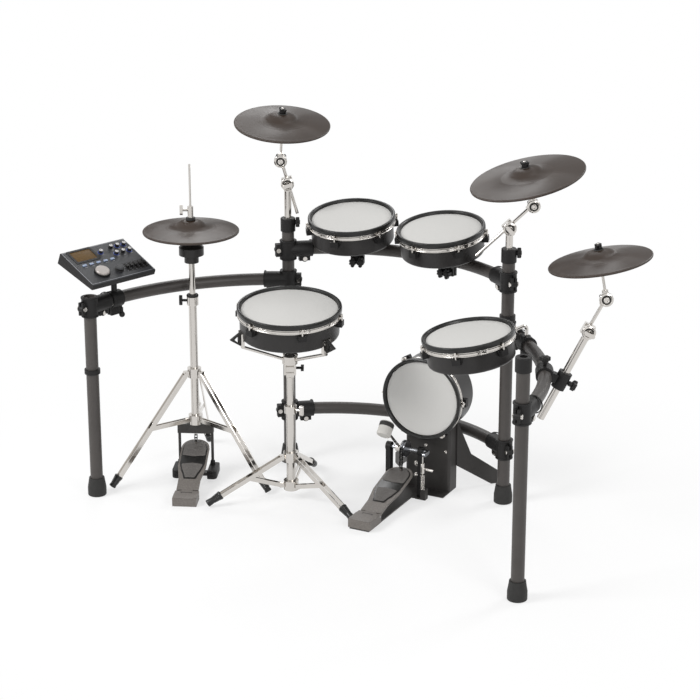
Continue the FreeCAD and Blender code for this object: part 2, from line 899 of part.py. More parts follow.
class Pad:
    # The solids of one size of pad. Its frame has the head's centre at zero and the head's normal along Z.

    def __init__(self, name, radius, depth):
        self.radius = radius
        self.depth = depth
        self.body_radius = radius - d.body_inset
        neck = radius - d.neck_inset
        inner = radius - d.rim_width
        skirt = neck + d.seat_gap
        flesh = neck + d.flesh_width
        top = d.rim_rise
        seat = -d.rim_seat
        self.rim = revolved(f"{name}_rim", [
            (inner, seat), (radius, seat), (radius, top - d.rim_round, d.rim_round),
                                            (radius - d.rim_round, top),
            (inner + d.rim_round, top, d.rim_round), (inner, top - d.rim_round)])
        band = radius - d.band_inset
        band_inside = band - d.band_wall
        flange_top = d.band_flange_height - d.band_depth
        self.hoop = revolved(f"{name}_hoop_ring", [
            (inner, seat), (inner, -d.flesh_depth), (band_inside, -d.flesh_depth),
                                                   (band_inside, -d.band_depth),
            (band + d.band_flange, -d.band_depth), (band + d.band_flange, flange_top), (band, flange_top),
            (band, seat)])
        flesh_bottom = -d.flesh_depth - d.flesh_height
        self.head = revolved(f"{name}_head_skin", [
            (0, -d.head_thickness), (skirt, -d.head_thickness), (skirt, flesh_bottom), (flesh, flesh_bottom),
            (flesh, -d.flesh_depth), (skirt + d.head_thickness, -d.flesh_depth),
                                                   (skirt + d.head_thickness, 0),
            (0, 0)])
        wall_inside = neck - d.shell_wall
        floor_top = d.shell_floor - depth
        self.shell = revolved(f"{name}_shell_cup", [
            (0, -depth), (self.body_radius - d.body_round, -depth, d.body_round),
            (self.body_radius, d.body_round - depth), (self.body_radius, -d.neck_depth),
                                                    (neck, -d.neck_depth),
            (neck, -d.head_thickness), (wall_inside, -d.head_thickness), (wall_inside, floor_top),
                                                    (0, floor_top)])
        lug_deep = d.body_inset + d.lug_reach + d.cut_overrun
        lug_middle = radius + d.lug_reach - lug_deep / 2
        lug_low = -d.lug_drop - d.lug_height
        block = box(f"{name}_lug_block", lug_deep, d.lug_width, d.lug_height, spot(lug_middle, 0, lug_low))
        seat_wall = cylinder(f"{name}_lug_seat", self.body_radius + d.seat_gap, 2 * d.lug_height,
                             spot(z=lug_low - d.lug_height / 2))
        self.lug = cut(f"{name}_lug", block, seat_wall)
        bar_end = wall_inside - d.seat_gap
        half_bar = Size(math.sqrt(bar_end ** 2 - (d.trigger_bar_width / 2) ** 2),
                        f"sqrt({bar_end.text} ^ 2 - ({d.trigger_bar_width.text} / 2) ^ 2)")
        bar_low = -d.trigger_drop - d.trigger_bar_height
        self.trigger_bar = box(f"{name}_trigger_bar", 2 * half_bar, d.trigger_bar_width,
                               d.trigger_bar_height,
                               spot(z=bar_low))
        hook_deep = d.hook_inset + d.hook_reach
        hook = box(f"{name}_hook", hook_deep, d.hook_width, d.hook_height,
                   spot(radius - d.hook_inset + hook_deep / 2, 0, -d.hook_top - d.hook_height))
        screw_axis = radius + d.screw_reach
        shank = cylinder(f"{name}_shank", d.screw_radius, d.lug_drop - d.screw_top,
                         spot(screw_axis, 0, -d.lug_drop))
        screw_head = cylinder(f"{name}_screw_head", d.screw_head_radius, d.screw_head_height,
                              spot(screw_axis, 0, -d.screw_top - d.screw_head_height))
        self.screw = fused(f"{name}_screw", hook, shank, screw_head)

    def shell_pieces(self, frame, first_lug=0):
        spokes = [turned(Z_AXIS, first_lug + 360 / lug_count * number) for number in range(lug_count)]
        lugs = [(self.lug, frame * spoke) for spoke in spokes]
        return [(self.shell, frame), (self.trigger_bar, frame * self.trigger_bar.Placement),
                (trigger_cone, frame * spot(z=-d.trigger_drop))] + lugs

    def nodes(self, label, frame, first_lug, *fittings):
        spokes = [turned(Z_AXIS, first_lug + 360 / lug_count * number) for number in range(lug_count)]
        node(f"{label}_shell", *self.shell_pieces(frame, first_lug), *fittings)
        node(f"{label}_hoop", (self.hoop, frame), (self.rim, frame),
             *[(self.screw, frame * spoke) for spoke in spokes])
        node(f"{label}_head", (self.head, frame))


cone_height = d.trigger_drop - d.head_thickness - d.cone_gap
trigger_cone = revolved("trigger_cone", [
    (0, 0), (d.cone_base_radius, 0), (d.cone_tip_radius, cone_height), (0, cone_height)])
tom_pad = Pad("tom", d.tom_radius, d.tom_depth)
snare_pad = Pad("snare", d.snare_radius, d.snare_depth)
kick_pad = Pad("kick", d.kick_radius, d.kick_depth)


# Toms one and two: a clamp ring on the rail carries a boss, and a clevis below the shell tilts on it

clevis_gap = d.pivot_boss / 2 + d.moving_gap
pivot_deep = d.tom_depth + d.pivot_drop
ear_outline_top = d.pivot_drop
clevis_ear = padded("clevis_ear", [
    (-d.pivot_radius, ear_outline_top), (-d.pivot_radius, 0, d.pivot_radius),
                                   (0, -d.pivot_radius, d.pivot_radius),
    (d.pivot_radius, 0), (d.pivot_radius, ear_outline_top)], d.bracket_ear)
ear_hole = cylinder("clevis_hole", d.pivot_pin_radius + d.seat_gap, d.bracket_ear)
drilled_ear = cut("drilled_clevis_ear", clevis_ear, ear_hole)
pin_length = 2 * (clevis_gap + d.bracket_ear)
clevis_pin = cylinder("clevis_pin", d.pivot_pin_radius, pin_length)
# Ear outlines stand in a plane whose normal is the hinge axis: X across, Y up
ear_plane = turned(X_AXIS, 90)


def tilting_tom(label, x, y, heading):
    frame = leaning(spot(x, y, d.tom_height), heading, tom_lean)
    pivot = frame * spot(z=-pivot_deep)
    hinge = pivot * ear_plane
    frames[label] = hinge
    ears = [(drilled_ear, hinge * spot(z=clevis_gap)),
            (drilled_ear, hinge * spot(z=-clevis_gap - d.bracket_ear))]
    tom_pad.nodes(label, frame, 0, *ears, (clevis_pin, hinge * spot(z=-pin_length / 2)))
    return hinge


def ear_rooms(name, hinge):
    # Room for the two ears that swing beside a boss, cut from whatever carries the boss.
    wide = 2 * (d.pivot_radius + d.bracket_ear)
    return [box(f"{name}_ear_room", wide, wide, 2 * clevis_gap, hinge * spot(z=start))
            for start in (clevis_gap - d.moving_gap, d.moving_gap - 3 * clevis_gap)]


def rail_clamp(name, rail, hinge):
    # A ring round the rail with an ear below it, joined by a neck to the boss that the clevis tilts on.
    lying = turned(X_AXIS, 90)
    outer = tube_radius + d.rail_clamp_wall
    round_rail = rail * lying * spot(z=-d.rail_clamp_length / 2)
    clamp_ring = cylinder(f"{name}_ring", outer, d.rail_clamp_length, round_rail)
    ear = box(f"{name}_ear", d.rail_ear_width, d.rail_clamp_length, outer + d.rail_ear_drop,
              rail * spot(z=-outer - d.rail_ear_drop))
    boss = cylinder(f"{name}_boss", d.pivot_radius, d.pivot_boss, hinge * spot(z=-d.pivot_boss / 2))
    reach = hinge.Base - rail.Base
    neck_frame = facing(rail.Base, reach, hinge.Rotation.multVec(Z_AXIS))
    neck = box(f"{name}_neck", d.neck_width, d.pivot_boss, Size(reach.Length, repr(reach.Length)),
               neck_frame)
    blank = fused(f"{name}_blank", clamp_ring, ear, boss, neck)
    bore = rear_bar.bore(f"{name}_bore", rail, 2 * d.rail_clamp_length)
    slit = box(f"{name}_slit", d.ear_slit, 2 * d.rail_clamp_length, outer + d.rail_ear_drop + d.cut_overrun,
               rail * spot(z=-outer - d.rail_ear_drop - d.cut_overrun))
    pin_hole = cylinder(f"{name}_pin_hole", d.pivot_pin_radius + d.running_gap, 2 * d.pivot_boss,
                        hinge * spot(z=-d.pivot_boss))
    return cut(name, blank, bore, slit, pin_hole, *ear_rooms(name, hinge))


def rail_knobs(rail, side_turn):
    # Two wing knobs beside the ear below the rail, on its outer side or, half a turn round, its inner one.
    low = -tube_radius - d.rail_clamp_wall - d.rail_ear_drop / 2
    seat = spot(0, 0, low) * turned(Z_AXIS, side_turn) * along_x * spot(z=d.rail_ear_width / 2 + d.seat_gap)
    return [(wing_knob, rail * spot(0, side * d.knob_spread / 2) * seat) for side in (-1, 1)]


tom_mounts = []
for label, x, y, heading in (("tom1", d.tom_one_x, d.tom_one_y, tom_one_heading),
                             ("tom2", d.tom_two_x, d.tom_two_y, tom_two_heading)):
    tom_hinge = tilting_tom(label, x, y, heading)
    on_rail = math.radians(rear_bar.sweep) * rear_bar.radius / 2 + rear_bar.radius * math.asin(
        -tom_hinge.Base.x / rear_bar.radius)
    tom_rail = rear_bar.frame(on_rail, d.rail_height)
    tom_mounts.append(rail_clamp(f"{label}_clamp", tom_rail, tom_hinge))
    collar_knobs += rail_knobs(tom_rail, 180)

# Third tom: an L-rod rises from a ring on the right arm and lies in a bracket on the shell's side

arm_length = math.radians(right_arm.sweep) * right_arm.radius
tom_arm = right_arm.frame(arm_length - d.tom_three_arm_along, d.right_arm_height)
rod_run = Vector(d.tom_three_x - tom_arm.Base.x, d.tom_three_y - tom_arm.Base.y, 0)
rod_heading = math.degrees(math.atan2(rod_run.y, rod_run.x))
along_rod = spot(d.tom_three_x, d.tom_three_y, d.tom_three_height) * turned(Z_AXIS, rod_heading - 90)
tom_three = along_rod * turned(X_AXIS, -rod_slope) * turned(Y_AXIS, tom_three_lean)
bracket_start = -tom_pad.body_radius - d.rod_bracket_length
rod_aside = d.rod_drop * math.tan(math.radians(tom_three_lean))
rod_mouth = tom_three * spot(rod_aside, bracket_start, -d.rod_drop)
rod_frame = facing(rod_mouth.Base, tom_three.Rotation.multVec(Y_AXIS), Z_AXIS)
frames["tom3"] = rod_frame
bracket_deep = d.rod_bracket_length + d.cut_overrun
bracket_block = box("rod_bracket_block", d.rod_bracket_width, bracket_deep, d.rod_bracket_height,
                    spot(rod_aside, bracket_start + bracket_deep / 2,
                         -d.rod_drop - d.rod_bracket_height / 2))
bracket_seat = cylinder("rod_bracket_seat", tom_pad.body_radius + d.seat_gap, d.tom_depth,
                        spot(z=-d.tom_depth))
bracket_bore = cylinder("rod_bracket_bore", d.rod_radius + d.running_gap, bracket_deep + d.cut_overrun,
                        spot(rod_aside, bracket_start - d.cut_overrun, -d.rod_drop) * along_y)
rod_bracket = cut("rod_bracket", bracket_block, bracket_seat, bracket_bore)
tom_pad.nodes("tom3", tom_three, 0, (rod_bracket, tom_three))

rod_flat = math.hypot(rod_mouth.Base.x - tom_arm.Base.x, rod_mouth.Base.y - tom_arm.Base.y)
rod_inside = d.rod_bracket_length - d.moving_gap
slope_sine = math.sin(math.radians(rod_slope))
slope_cosine = math.cos(math.radians(rod_slope))
corner_out = d.rod_bend * (1 + slope_sine)
run_length = (rod_flat - corner_out) / slope_cosine + rod_inside
run_start = rod_mouth.Base.z + (rod_flat - corner_out) * slope_sine / slope_cosine
corner_level = run_start - d.rod_bend * slope_cosine
rise_length = corner_level - d.right_arm_height
rod_turn = spot(tom_arm.Base.x, tom_arm.Base.y) * turned(Z_AXIS, rod_heading)
rod_rise = cylinder("rod_rise", d.rod_radius, Size(rise_length, repr(rise_length)),
                    rod_turn * spot(z=d.right_arm_height))
rod_corner = torus("rod_corner", d.rod_bend, d.rod_radius, 90 + rod_slope,
                   rod_turn * spot(d.rod_bend, 0, corner_level) * turned(X_AXIS, 90) *
                   turned(Z_AXIS, 90 - rod_slope))
rod_level_run = cylinder("rod_level_run", d.rod_radius, Size(run_length, repr(run_length)),
                         rod_turn * spot(corner_out, 0, run_start) * turned(Y_AXIS, 90 + rod_slope))
l_rod = fused("l_rod", rod_rise, rod_corner, rod_level_run)
lying_arm = tom_arm * turned(X_AXIS, 90) * spot(z=-d.rail_clamp_length / 2)
arm_ring_outer = tube_radius + d.rail_clamp_wall
rod_sleeve = cylinder("rod_sleeve", d.rod_radius + d.rail_clamp_wall, arm_ring_outer, tom_arm)
arm_ring = cylinder("arm_ring", arm_ring_outer, d.rail_clamp_length, lying_arm)
arm_ear = box("arm_ear", d.rail_ear_width, d.rail_clamp_length, arm_ring_outer + d.rail_ear_drop,
              tom_arm * spot(z=-arm_ring_outer - d.rail_ear_drop))
arm_bore = right_arm.bore("arm_bore", tom_arm, 2 * d.rail_clamp_length)
arm_slit = box("arm_slit", d.ear_slit, 2 * d.rail_clamp_length,
               arm_ring_outer + d.rail_ear_drop + d.cut_overrun,
               tom_arm * spot(z=-arm_ring_outer - d.rail_ear_drop - d.cut_overrun))
rod_hole = cylinder("rod_hole", d.rod_radius + d.seat_gap, 2 * arm_ring_outer, tom_arm)
rod_above = tube_radius + d.seat_gap
l_rod_trim = cylinder("l_rod_trim", arm_ring_outer, rod_above, tom_arm)
trimmed_l_rod = cut("trimmed_l_rod", l_rod, l_rod_trim)
tom_mounts.append(cut("tom3_clamp", fused("tom3_clamp_blank", rod_sleeve, arm_ring, arm_ear), arm_bore,
                      arm_slit,
                      rod_hole))
tom_mounts.append(trimmed_l_rod)
collar_knobs += rail_knobs(tom_arm, 0)


# Cymbals and their arms

def cymbal_disc(name, radius):
    bell_top = d.bow_rise + d.bell_rise
    under = d.cymbal_thickness
    return revolved(name, [
        (radius, 0), (radius, d.cymbal_edge, d.bow_curve), (d.bell_radius, d.bow_rise, d.bell_curve),
        (d.cymbal_hole, bell_top), (d.cymbal_hole, bell_top - under, -d.bell_curve),
        (d.bell_radius - under / 2, d.bow_rise - under, -d.bow_curve), (radius - d.cymbal_lip, 0)])


crash_disc = cymbal_disc("crash_disc", d.crash_radius)
ride_disc = cymbal_disc("ride_disc", d.ride_radius)
bell_under = d.bow_rise + d.bell_rise - d.cymbal_thickness

# Half a tilter: a disc beside the hinge plane, on a tongue that runs down to its neck
half_width = d.tilter_width - d.moving_gap / 2
half_disc = cylinder("half_disc", d.tilter_radius, half_width, spot(0, -d.tilter_width) * along_y)
half_tongue = box("half_tongue", 2 * d.post_collar_radius, half_width, d.mast_neck,
                  spot(0, -d.tilter_width + half_width / 2, -d.mast_neck))
pin_bore = cylinder("tilter_pin_bore", d.tilter_pin_radius + d.running_gap, 2 * d.tilter_width,
                    spot(0, -2 * d.tilter_width) * along_y)
tilter_half = cut("tilter_half", fused("tilter_half_blank", half_disc, half_tongue), pin_bore)

# The boom's own half: a disc on the other side with a block behind it that holds the rod
boom_inside = d.mast_radius + d.moving_gap
boom_axis = boom_inside + d.boom_block_width / 2
boom_disc = cylinder("boom_disc", d.tilter_radius, boom_inside - d.moving_gap / 2,
                     spot(0, d.moving_gap / 2) * along_y)
boom_grip = box("boom_grip", d.boom_block, d.boom_block_width, d.boom_block,
                spot(0, boom_axis, -d.boom_block / 2))
boom_bore = cylinder("boom_bore", d.boom_radius + d.seat_gap, 2 * d.boom_block,
                     spot(0, boom_axis, -d.boom_block))
boom_half = cut("boom_half", fused("boom_half_blank", boom_disc, boom_grip), boom_bore)
tilter_pin = cylinder("tilter_pin", d.tilter_pin_radius, d.tilter_width + d.moving_gap,
                      spot(0, -d.tilter_width - d.moving_gap / 2) * along_y)
wing_nut = turned(X_AXIS, 90) * spot(z=d.tilter_width + d.moving_gap)
upper_half = turned(Z_AXIS, 180)
post_half = turned(Y_AXIS, 180)

post_collar = cylinder("post_collar", d.post_collar_radius, d.post_collar_height)
stop_nut = revolved("stop_nut", [
    (d.post_radius + d.seat_gap, 0), (d.stop_waist, 0), (d.stop_radius, d.stop_height / 4),
    (d.stop_radius, d.stop_height), (d.post_radius + d.seat_gap, d.stop_height)])
seat_cup = revolved("seat_cup", [
    (d.post_radius + d.seat_gap, -d.post_seat_height), (d.post_seat_flare, -d.post_seat_height),
    (d.post_seat_radius, 0), (d.post_radius + d.seat_gap, 0)])


def cymbal_arm(label, tilter, mast_below, boom_lean, reach, tail, normal, seat_height, disc):
    # tilter: frame of the lower tilter, Z along the mast and Y along the hinge.
    cap_height = d.mast_neck / 4
    mast_tube = ring(f"{label}_mast_tube", d.mast_radius, d.mast_radius - d.mast_wall,
                     mast_below - d.mast_neck - cap_height)
    mast_cap = cylinder(f"{label}_mast_cap", d.mast_radius, cap_height)
    node(f"{label}_mast", (mast_tube, tilter * spot(z=-mast_below)), (tilter_half, tilter),
         (mast_cap, tilter * spot(z=-d.mast_neck - cap_height)))
    boom = tilter * turned(Y_AXIS, boom_lean)
    rod_length = reach + tail
    rod = cylinder(f"{label}_boom_rod", d.boom_radius, rod_length)
    boom_up = boom.Rotation.multVec(Z_AXIS)
    post = facing(Vector(), normal, boom.Rotation.multVec(Y_AXIS))
    hinge_line = post.Rotation.multVec(Y_AXIS)
    end_slack = d.boom_radius * boom_up.dot(hinge_line)
    rod_end = boom * spot(0, boom_axis, reach + d.seat_gap + math.fabs(end_slack))
    end_frame = facing(rod_end.Base, boom_up - hinge_line * boom_up.dot(hinge_line), hinge_line)
    upper = end_frame * spot(0, -d.tilter_width / 2, d.mast_neck)
    post = Placement(upper.Base, post.Rotation)
    node(f"{label}_boom", (boom_half, boom), (rod, boom * spot(0, boom_axis, -tail)),
         (tilter_pin, boom * tilter_pin.Placement), (wing_knob, boom * wing_nut),
         (tilter_half, upper * upper_half))
    post_top = seat_height + d.cymbal_thickness + 2 * d.rock_gap + d.stop_height
    post_low = d.mast_neck + d.post_collar_height
    post_rod = cylinder(f"{label}_post_rod", d.post_radius, post_top - post_low)
    seat_place = post * spot(0, -d.tilter_width / 2, seat_height - d.rock_gap)
    stop_place = post * spot(0, -d.tilter_width / 2, seat_height + d.cymbal_thickness + d.rock_gap)
    node(f"{label}_post", (tilter_half, post * post_half),
         (post_collar, post * spot(0, -d.tilter_width / 2, d.mast_neck)),
         (post_rod, post * spot(0, -d.tilter_width / 2, post_low)), (seat_cup, seat_place),
         (stop_nut, stop_place),
         (tilter_pin, post * turned(Z_AXIS, 180) * tilter_pin.Placement),
         (wing_knob, post * upper_half * wing_nut))
    rock = post * spot(0, -d.tilter_width / 2, seat_height)
    node(f"{label}_cymbal", (disc, rock * spot(z=-bell_under)))
    frames[f"{label}_mast"] = tilter
    frames[f"{label}_boom"] = boom * ear_plane
    frames[f"{label}_post"] = post * ear_plane
    frames[f"{label}_cymbal"] = rock * ear_plane


def lean_normal(heading, lean):
    return leaning(spot(), heading, lean).Rotation.multVec(Z_AXIS)


def rear_mast(foot, height):
    return spot(foot.x, foot.y, height) * turned(Z_AXIS, view_heading)


rear_plug = d.rear_height - d.mast_plug
cymbal_arm("left", rear_mast(rear_left, d.left_mast_height), d.left_mast_height - rear_plug, left_boom_lean,
           d.left_boom_reach, d.left_boom_tail, lean_normal(left_cymbal_heading, left_cymbal_lean),
           d.left_seat_height, crash_disc)
cymbal_arm("ride", rear_mast(rear_right, d.ride_mast_height), d.ride_mast_height - rear_plug, ride_boom_lean,
           d.ride_boom_reach, d.ride_boom_tail, lean_normal(ride_cymbal_heading, ride_cymbal_lean),
           d.ride_seat_height, ride_disc)
crash_tilter = leaning(spot(d.crash_tilter_x, d.crash_tilter_y, d.crash_tilter_height), view_heading,
                       crash_mast_lean)
cymbal_arm("crash", crash_tilter, d.crash_mast_length, crash_boom_lean - crash_mast_lean, d.crash_boom_reach,
           d.crash_boom_tail, lean_normal(crash_cymbal_heading, crash_cymbal_lean), d.crash_seat_height,
           crash_disc)

# The crash arm's clamp: a sleeve round its tube, joined to a ring on the right arm

grip = crash_tilter * spot(z=-d.crash_clamp_below)
grip_radius = d.mast_radius + d.crash_clamp_wall
arm_angle = math.degrees(math.atan2(grip.Base.y - right_arm.centre.y, grip.Base.x - right_arm.centre.x))
crash_on_arm = right_arm.frame(math.radians(arm_angle - right_arm.first) * right_arm.radius,
                               d.right_arm_height)
grip_sleeve = cylinder("grip_sleeve", grip_radius, d.crash_clamp_length,
                       grip * spot(z=-d.crash_clamp_length / 2))
grip_ring = cylinder("grip_ring", arm_ring_outer, d.crash_clamp_length,
                     crash_on_arm * turned(X_AXIS, 90) * spot(z=-d.crash_clamp_length / 2))
grip_run = grip.Base - crash_on_arm.Base
grip_link = box("grip_link", d.crash_clamp_length / 2, d.crash_clamp_length / 2,
                Size(grip_run.Length, repr(grip_run.Length)), facing(crash_on_arm.Base, grip_run, Z_AXIS))
grip_bore = cylinder("grip_bore", d.mast_radius + d.running_gap, 2 * d.crash_clamp_length,
                     grip * spot(z=-d.crash_clamp_length))
grip_arm_bore = right_arm.bore("grip_arm_bore", crash_on_arm, 2 * d.crash_clamp_length)
tom_mounts.append(cut("crash_clamp", fused("crash_clamp_blank", grip_sleeve, grip_ring, grip_link),
                      grip_bore,
                      grip_arm_bore))
collar_knobs.append((wing_knob, grip * along_x * spot(z=grip_radius + d.seat_gap)))
collar_knobs.append((wing_knob, crash_on_arm * spot(z=arm_ring_outer + d.seat_gap)))


# Kick tower

kick_frame = Placement(Vector(d.kick_x, d.kick_pad_front, d.kick_pad_height), Rotation(X_AXIS, 90))
kick_pad.nodes("kick", kick_frame, 0)
half_tower = d.tower_width / 2
fold = d.tower_fold
sheet_in = d.tower_sheet
channel = padded("tower_channel", [
    (-half_tower + fold, 0), (half_tower - fold, 0, fold), (half_tower, fold), (half_tower, d.tower_depth),
    (half_tower - sheet_in, d.tower_depth), (half_tower - sheet_in, fold, sheet_in - fold),
    (half_tower - fold, sheet_in), (-half_tower + fold, sheet_in, sheet_in - fold),
    (-half_tower + sheet_in, fold), (-half_tower + sheet_in, d.tower_depth), (-half_tower, d.tower_depth),
    (-half_tower, fold, fold)], d.tower_height)
tower_place = spot(d.kick_x, d.tower_front)
channel.Placement = tower_place
base_front = d.pedal_axle_y + d.pedal_post_depth
base_length = d.tower_front + d.tower_depth - base_front
tower_base = box("tower_base", d.tower_width, base_length, d.tower_sheet,
                 spot(d.kick_x, base_front + base_length / 2))
cradle = cylinder("tower_cradle", kick_pad.body_radius + d.seat_gap, 2 * d.tower_depth + 2 * d.kick_depth,
                  kick_frame * spot(z=-d.tower_depth - 2 * d.kick_depth))
tower = cut("tower_sheet_metal", fused("tower_blank", channel, tower_base), cradle)
node("kick_tower", tower)
leg_plate = padded("tower_leg_plate", [
    (0, d.tower_leg_lift), (d.tower_leg_length - d.tower_leg_tip, 0), (d.tower_leg_length, 0),
    (d.tower_leg_length, d.tower_leg_tip), (d.tower_leg_knee, d.tower_leg_knee_height),
    (0, d.tower_leg_lift + d.tower_leg_root)], d.tower_leg_sheet)
tower_legs = []
for side in (1, -1):
    leg_corner = d.tower_leg_sheet / 2 * math.cos(math.radians(tower_leg_splay))
    root_x = d.kick_x + side * (half_tower + d.seat_gap + leg_corner)
    heading = 90 - side * tower_leg_splay
    place = spot(root_x, d.tower_front + d.tower_depth - d.tower_leg_sheet) * turned(Z_AXIS,
                                                                                     heading) * ear_plane
    plate = doc.addObject("App::Link", "tower_leg_blank")
    plate.LinkedObject = leg_plate
    plate.Placement = place * spot(z=-d.tower_leg_sheet / 2)
    cradle_again = cylinder("tower_leg_cradle", kick_pad.body_radius + d.seat_gap, 4 * d.kick_depth,
                            kick_frame * spot(z=-3 * d.kick_depth))
    tower_legs.append(cut("tower_leg", plate, cradle_again))
node("kick_tower_legs", *tower_legs)


# Kick pedal

def footboard(name, length, heel_width, toe_width):
    # The board from its hinge line at zero to its round toe, along +Y, with a loop below the toe.
    heel = heel_width / 2
    toe = toe_width / 2
    round_start = length - d.board_toe_round
    flat = toe - d.board_toe_round
    plate = padded(f"{name}_plate", [
        (-heel, 2 * d.board_hinge_radius), (heel, 2 * d.board_hinge_radius),
        (heel, d.board_shoulder), (toe, d.board_swell), (toe, round_start, d.board_toe_round),
                                     (flat, length),
        (-flat, length, d.board_toe_round), (-toe, round_start), (-toe, d.board_swell),
                                     (-heel, d.board_shoulder)],
        d.board_thickness)
    knuckle_length = heel_width / 2
    knuckle = cylinder(f"{name}_knuckle", d.board_hinge_radius, knuckle_length,
                       spot(-knuckle_length / 2, 0, d.board_thickness / 2) * along_x)
    tongue = box(f"{name}_tongue", knuckle_length, 3 * d.board_hinge_radius, d.board_thickness,
                 spot(0, 3 * d.board_hinge_radius / 2))
    loop = box(f"{name}_loop", d.chain_inside - 2 * d.moving_gap, d.toe_loop,
               d.toe_loop + d.board_thickness / 2,
               spot(0, length - d.toe_setback, 0))
    pin_hole = cylinder(f"{name}_pin_hole", d.board_pin_radius + d.running_gap, 2 * knuckle_length,
                        spot(-knuckle_length, 0, d.board_thickness / 2) * along_x)
    return cut(name, fused(f"{name}_blank", plate, knuckle, tongue, loop), pin_hole)


def heel_block(name, width, length, height, place):
    # A block behind the hinge with two cheeks that hold the hinge pin.
    gap_width = width / 2 + 2 * d.moving_gap
    deep = 2 * (d.board_hinge_radius + d.moving_gap)
    block = box(f"{name}_block", width, length, height, spot(0, -length / 2))
    hinge_at = spot(0, -deep / 2, d.board_hinge_height)
    notch = box(f"{name}_notch", gap_width, deep, height,
                spot(0, -deep / 2, d.board_hinge_height - deep / 2))
    pin_hole = cylinder(f"{name}_pin_hole", d.board_pin_radius + d.seat_gap, width,
                        hinge_at * spot(-width / 2) * along_x)
    pin = cylinder(f"{name}_pin", d.board_pin_radius, width - 2 * d.seat_gap)
    solid = cut(f"{name}_solid", block, notch, pin_hole)
    return (solid, place), (pin, place * hinge_at * spot(-width / 2 + d.seat_gap) *
                            along_x), place * hinge_at


pedal_hinge_y = d.pedal_heel_y + d.pedal_heel_length
heel_place = spot(d.pedal_x, pedal_hinge_y, d.pedal_plate)
heel, heel_pin, kick_hinge = heel_block("kick_heel", d.pedal_heel_width, d.pedal_heel_length,
                                        d.pedal_heel_height,
                                        heel_place)
plate_length = d.pedal_axle_y + d.pedal_post_depth - d.pedal_heel_y
floor_plate = box("pedal_plate", d.pedal_plate_width, plate_length, d.pedal_plate,
                  spot(d.pedal_x, d.pedal_heel_y + plate_length / 2))
cross_width = d.pedal_post_spread + d.pedal_post_width
cross_deep = 2 * d.pedal_post_depth
pedal_cross = box("pedal_cross", cross_width, cross_deep, d.pedal_plate, spot(d.pedal_x, d.pedal_axle_y))
pedal_base = fused("pedal_base", floor_plate, pedal_cross)
post_height = d.pedal_axle_height - d.pedal_plate
post_shaft = box("pedal_post_shaft", d.pedal_post_width, d.pedal_post_depth, post_height)
post_head = cylinder("pedal_post_head", d.pedal_head_height / 2, d.pedal_post_width,
                     spot(-d.pedal_post_width / 2, 0, post_height) * along_x)
post_hole = cylinder("pedal_post_hole", d.axle_radius + d.running_gap, 2 * d.pedal_post_width,
                     spot(-d.pedal_post_width, 0, post_height) * along_x)
pedal_post = cut("pedal_post", fused("pedal_post_blank", post_shaft, post_head), post_hole)
post_places = [spot(d.pedal_x + side * d.pedal_post_spread / 2, d.pedal_axle_y, d.pedal_plate)
               for side in (-1, 1)]
spring_x = d.pedal_x + d.pedal_post_spread / 2 + d.pedal_post_width / 2 + d.axle_end / 2
eye_block = box("spring_eye", d.axle_end, d.pedal_post_depth, d.spring_foot_height - d.pedal_plate,
                spot(spring_x, d.pedal_axle_y - d.crank_length / 2, d.pedal_plate))
eye_foot = box("spring_eye_foot", 2 * d.axle_end, d.pedal_post_depth, d.pedal_plate,
               spot(spring_x - d.axle_end / 2, d.pedal_axle_y - d.crank_length / 2))
eye_clear = box("spring_eye_clear", cross_width, cross_deep, d.pedal_plate, spot(d.pedal_x, d.pedal_axle_y))
eye_sole = cut("spring_eye_sole", eye_foot, eye_clear)
node("kick_pedal_base", pedal_base, heel, heel_pin, *[(pedal_post, place) for place in post_places],
     eye_block, eye_sole)
frames["kick_pedal"] = kick_hinge

loop_top = d.toe_loop + d.board_thickness / 2 + d.chain_roller_radius + d.seat_gap


def lean_to_chain(run, length):
    # How far a footboard leans so that its chain stands this far from the hinge.
    along = length - d.toe_setback
    above = loop_top - d.board_thickness / 2
    return math.degrees(math.acos(run / math.hypot(along, above)) - math.atan2(above, along))


chain_y = d.pedal_axle_y - d.cam_radius - d.chain_plate_height / 2 - d.seat_gap
board_lean = lean_to_chain(chain_y - kick_hinge.Base.y, d.board_length)
board_frame = kick_hinge * turned(X_AXIS, board_lean) * spot(z=-d.board_thickness / 2)
kick_board = footboard("kick_board", d.board_length, d.board_heel_width, d.board_toe_width)
node("kick_footboard", (kick_board, board_frame))

# Axle with the chain cam in the middle, and the crank for the spring outside the right post
axle_place = spot(d.pedal_x, d.pedal_axle_y, d.pedal_axle_height)
axle_out = d.pedal_post_spread / 2 + d.pedal_post_width / 2 + d.axle_end
axle_left = d.pedal_post_spread / 2 + d.pedal_post_width / 2 + d.moving_gap
axle_bar = cylinder("axle_bar", d.axle_radius, axle_left + axle_out, spot(-axle_left) * along_x)
groove = d.cam_radius - d.cam_groove
half_cam = d.cam_width / 2
cam = revolved("chain_cam", [
    (0, -half_cam), (d.cam_radius, -half_cam), (d.cam_radius, -half_cam / 2), (groove, 0),
    (d.cam_radius, half_cam / 2), (d.cam_radius, half_cam), (0, half_cam)])
cam.Placement = along_x
crank = stadium("axle_crank", d.crank_length + d.crank_width, d.crank_width, d.axle_end / 2)
crank.Placement = spot(axle_out - d.axle_end / 2, -d.crank_length / 2, 0) * Placement(
    Vector(), Rotation(Y_AXIS, Z_AXIS, X_AXIS, "ZXY"))
axle = fused("kick_axle_solid", axle_bar, cam, crank)
node("kick_axle", (axle, axle_place))
frames["kick_beater"] = axle_place

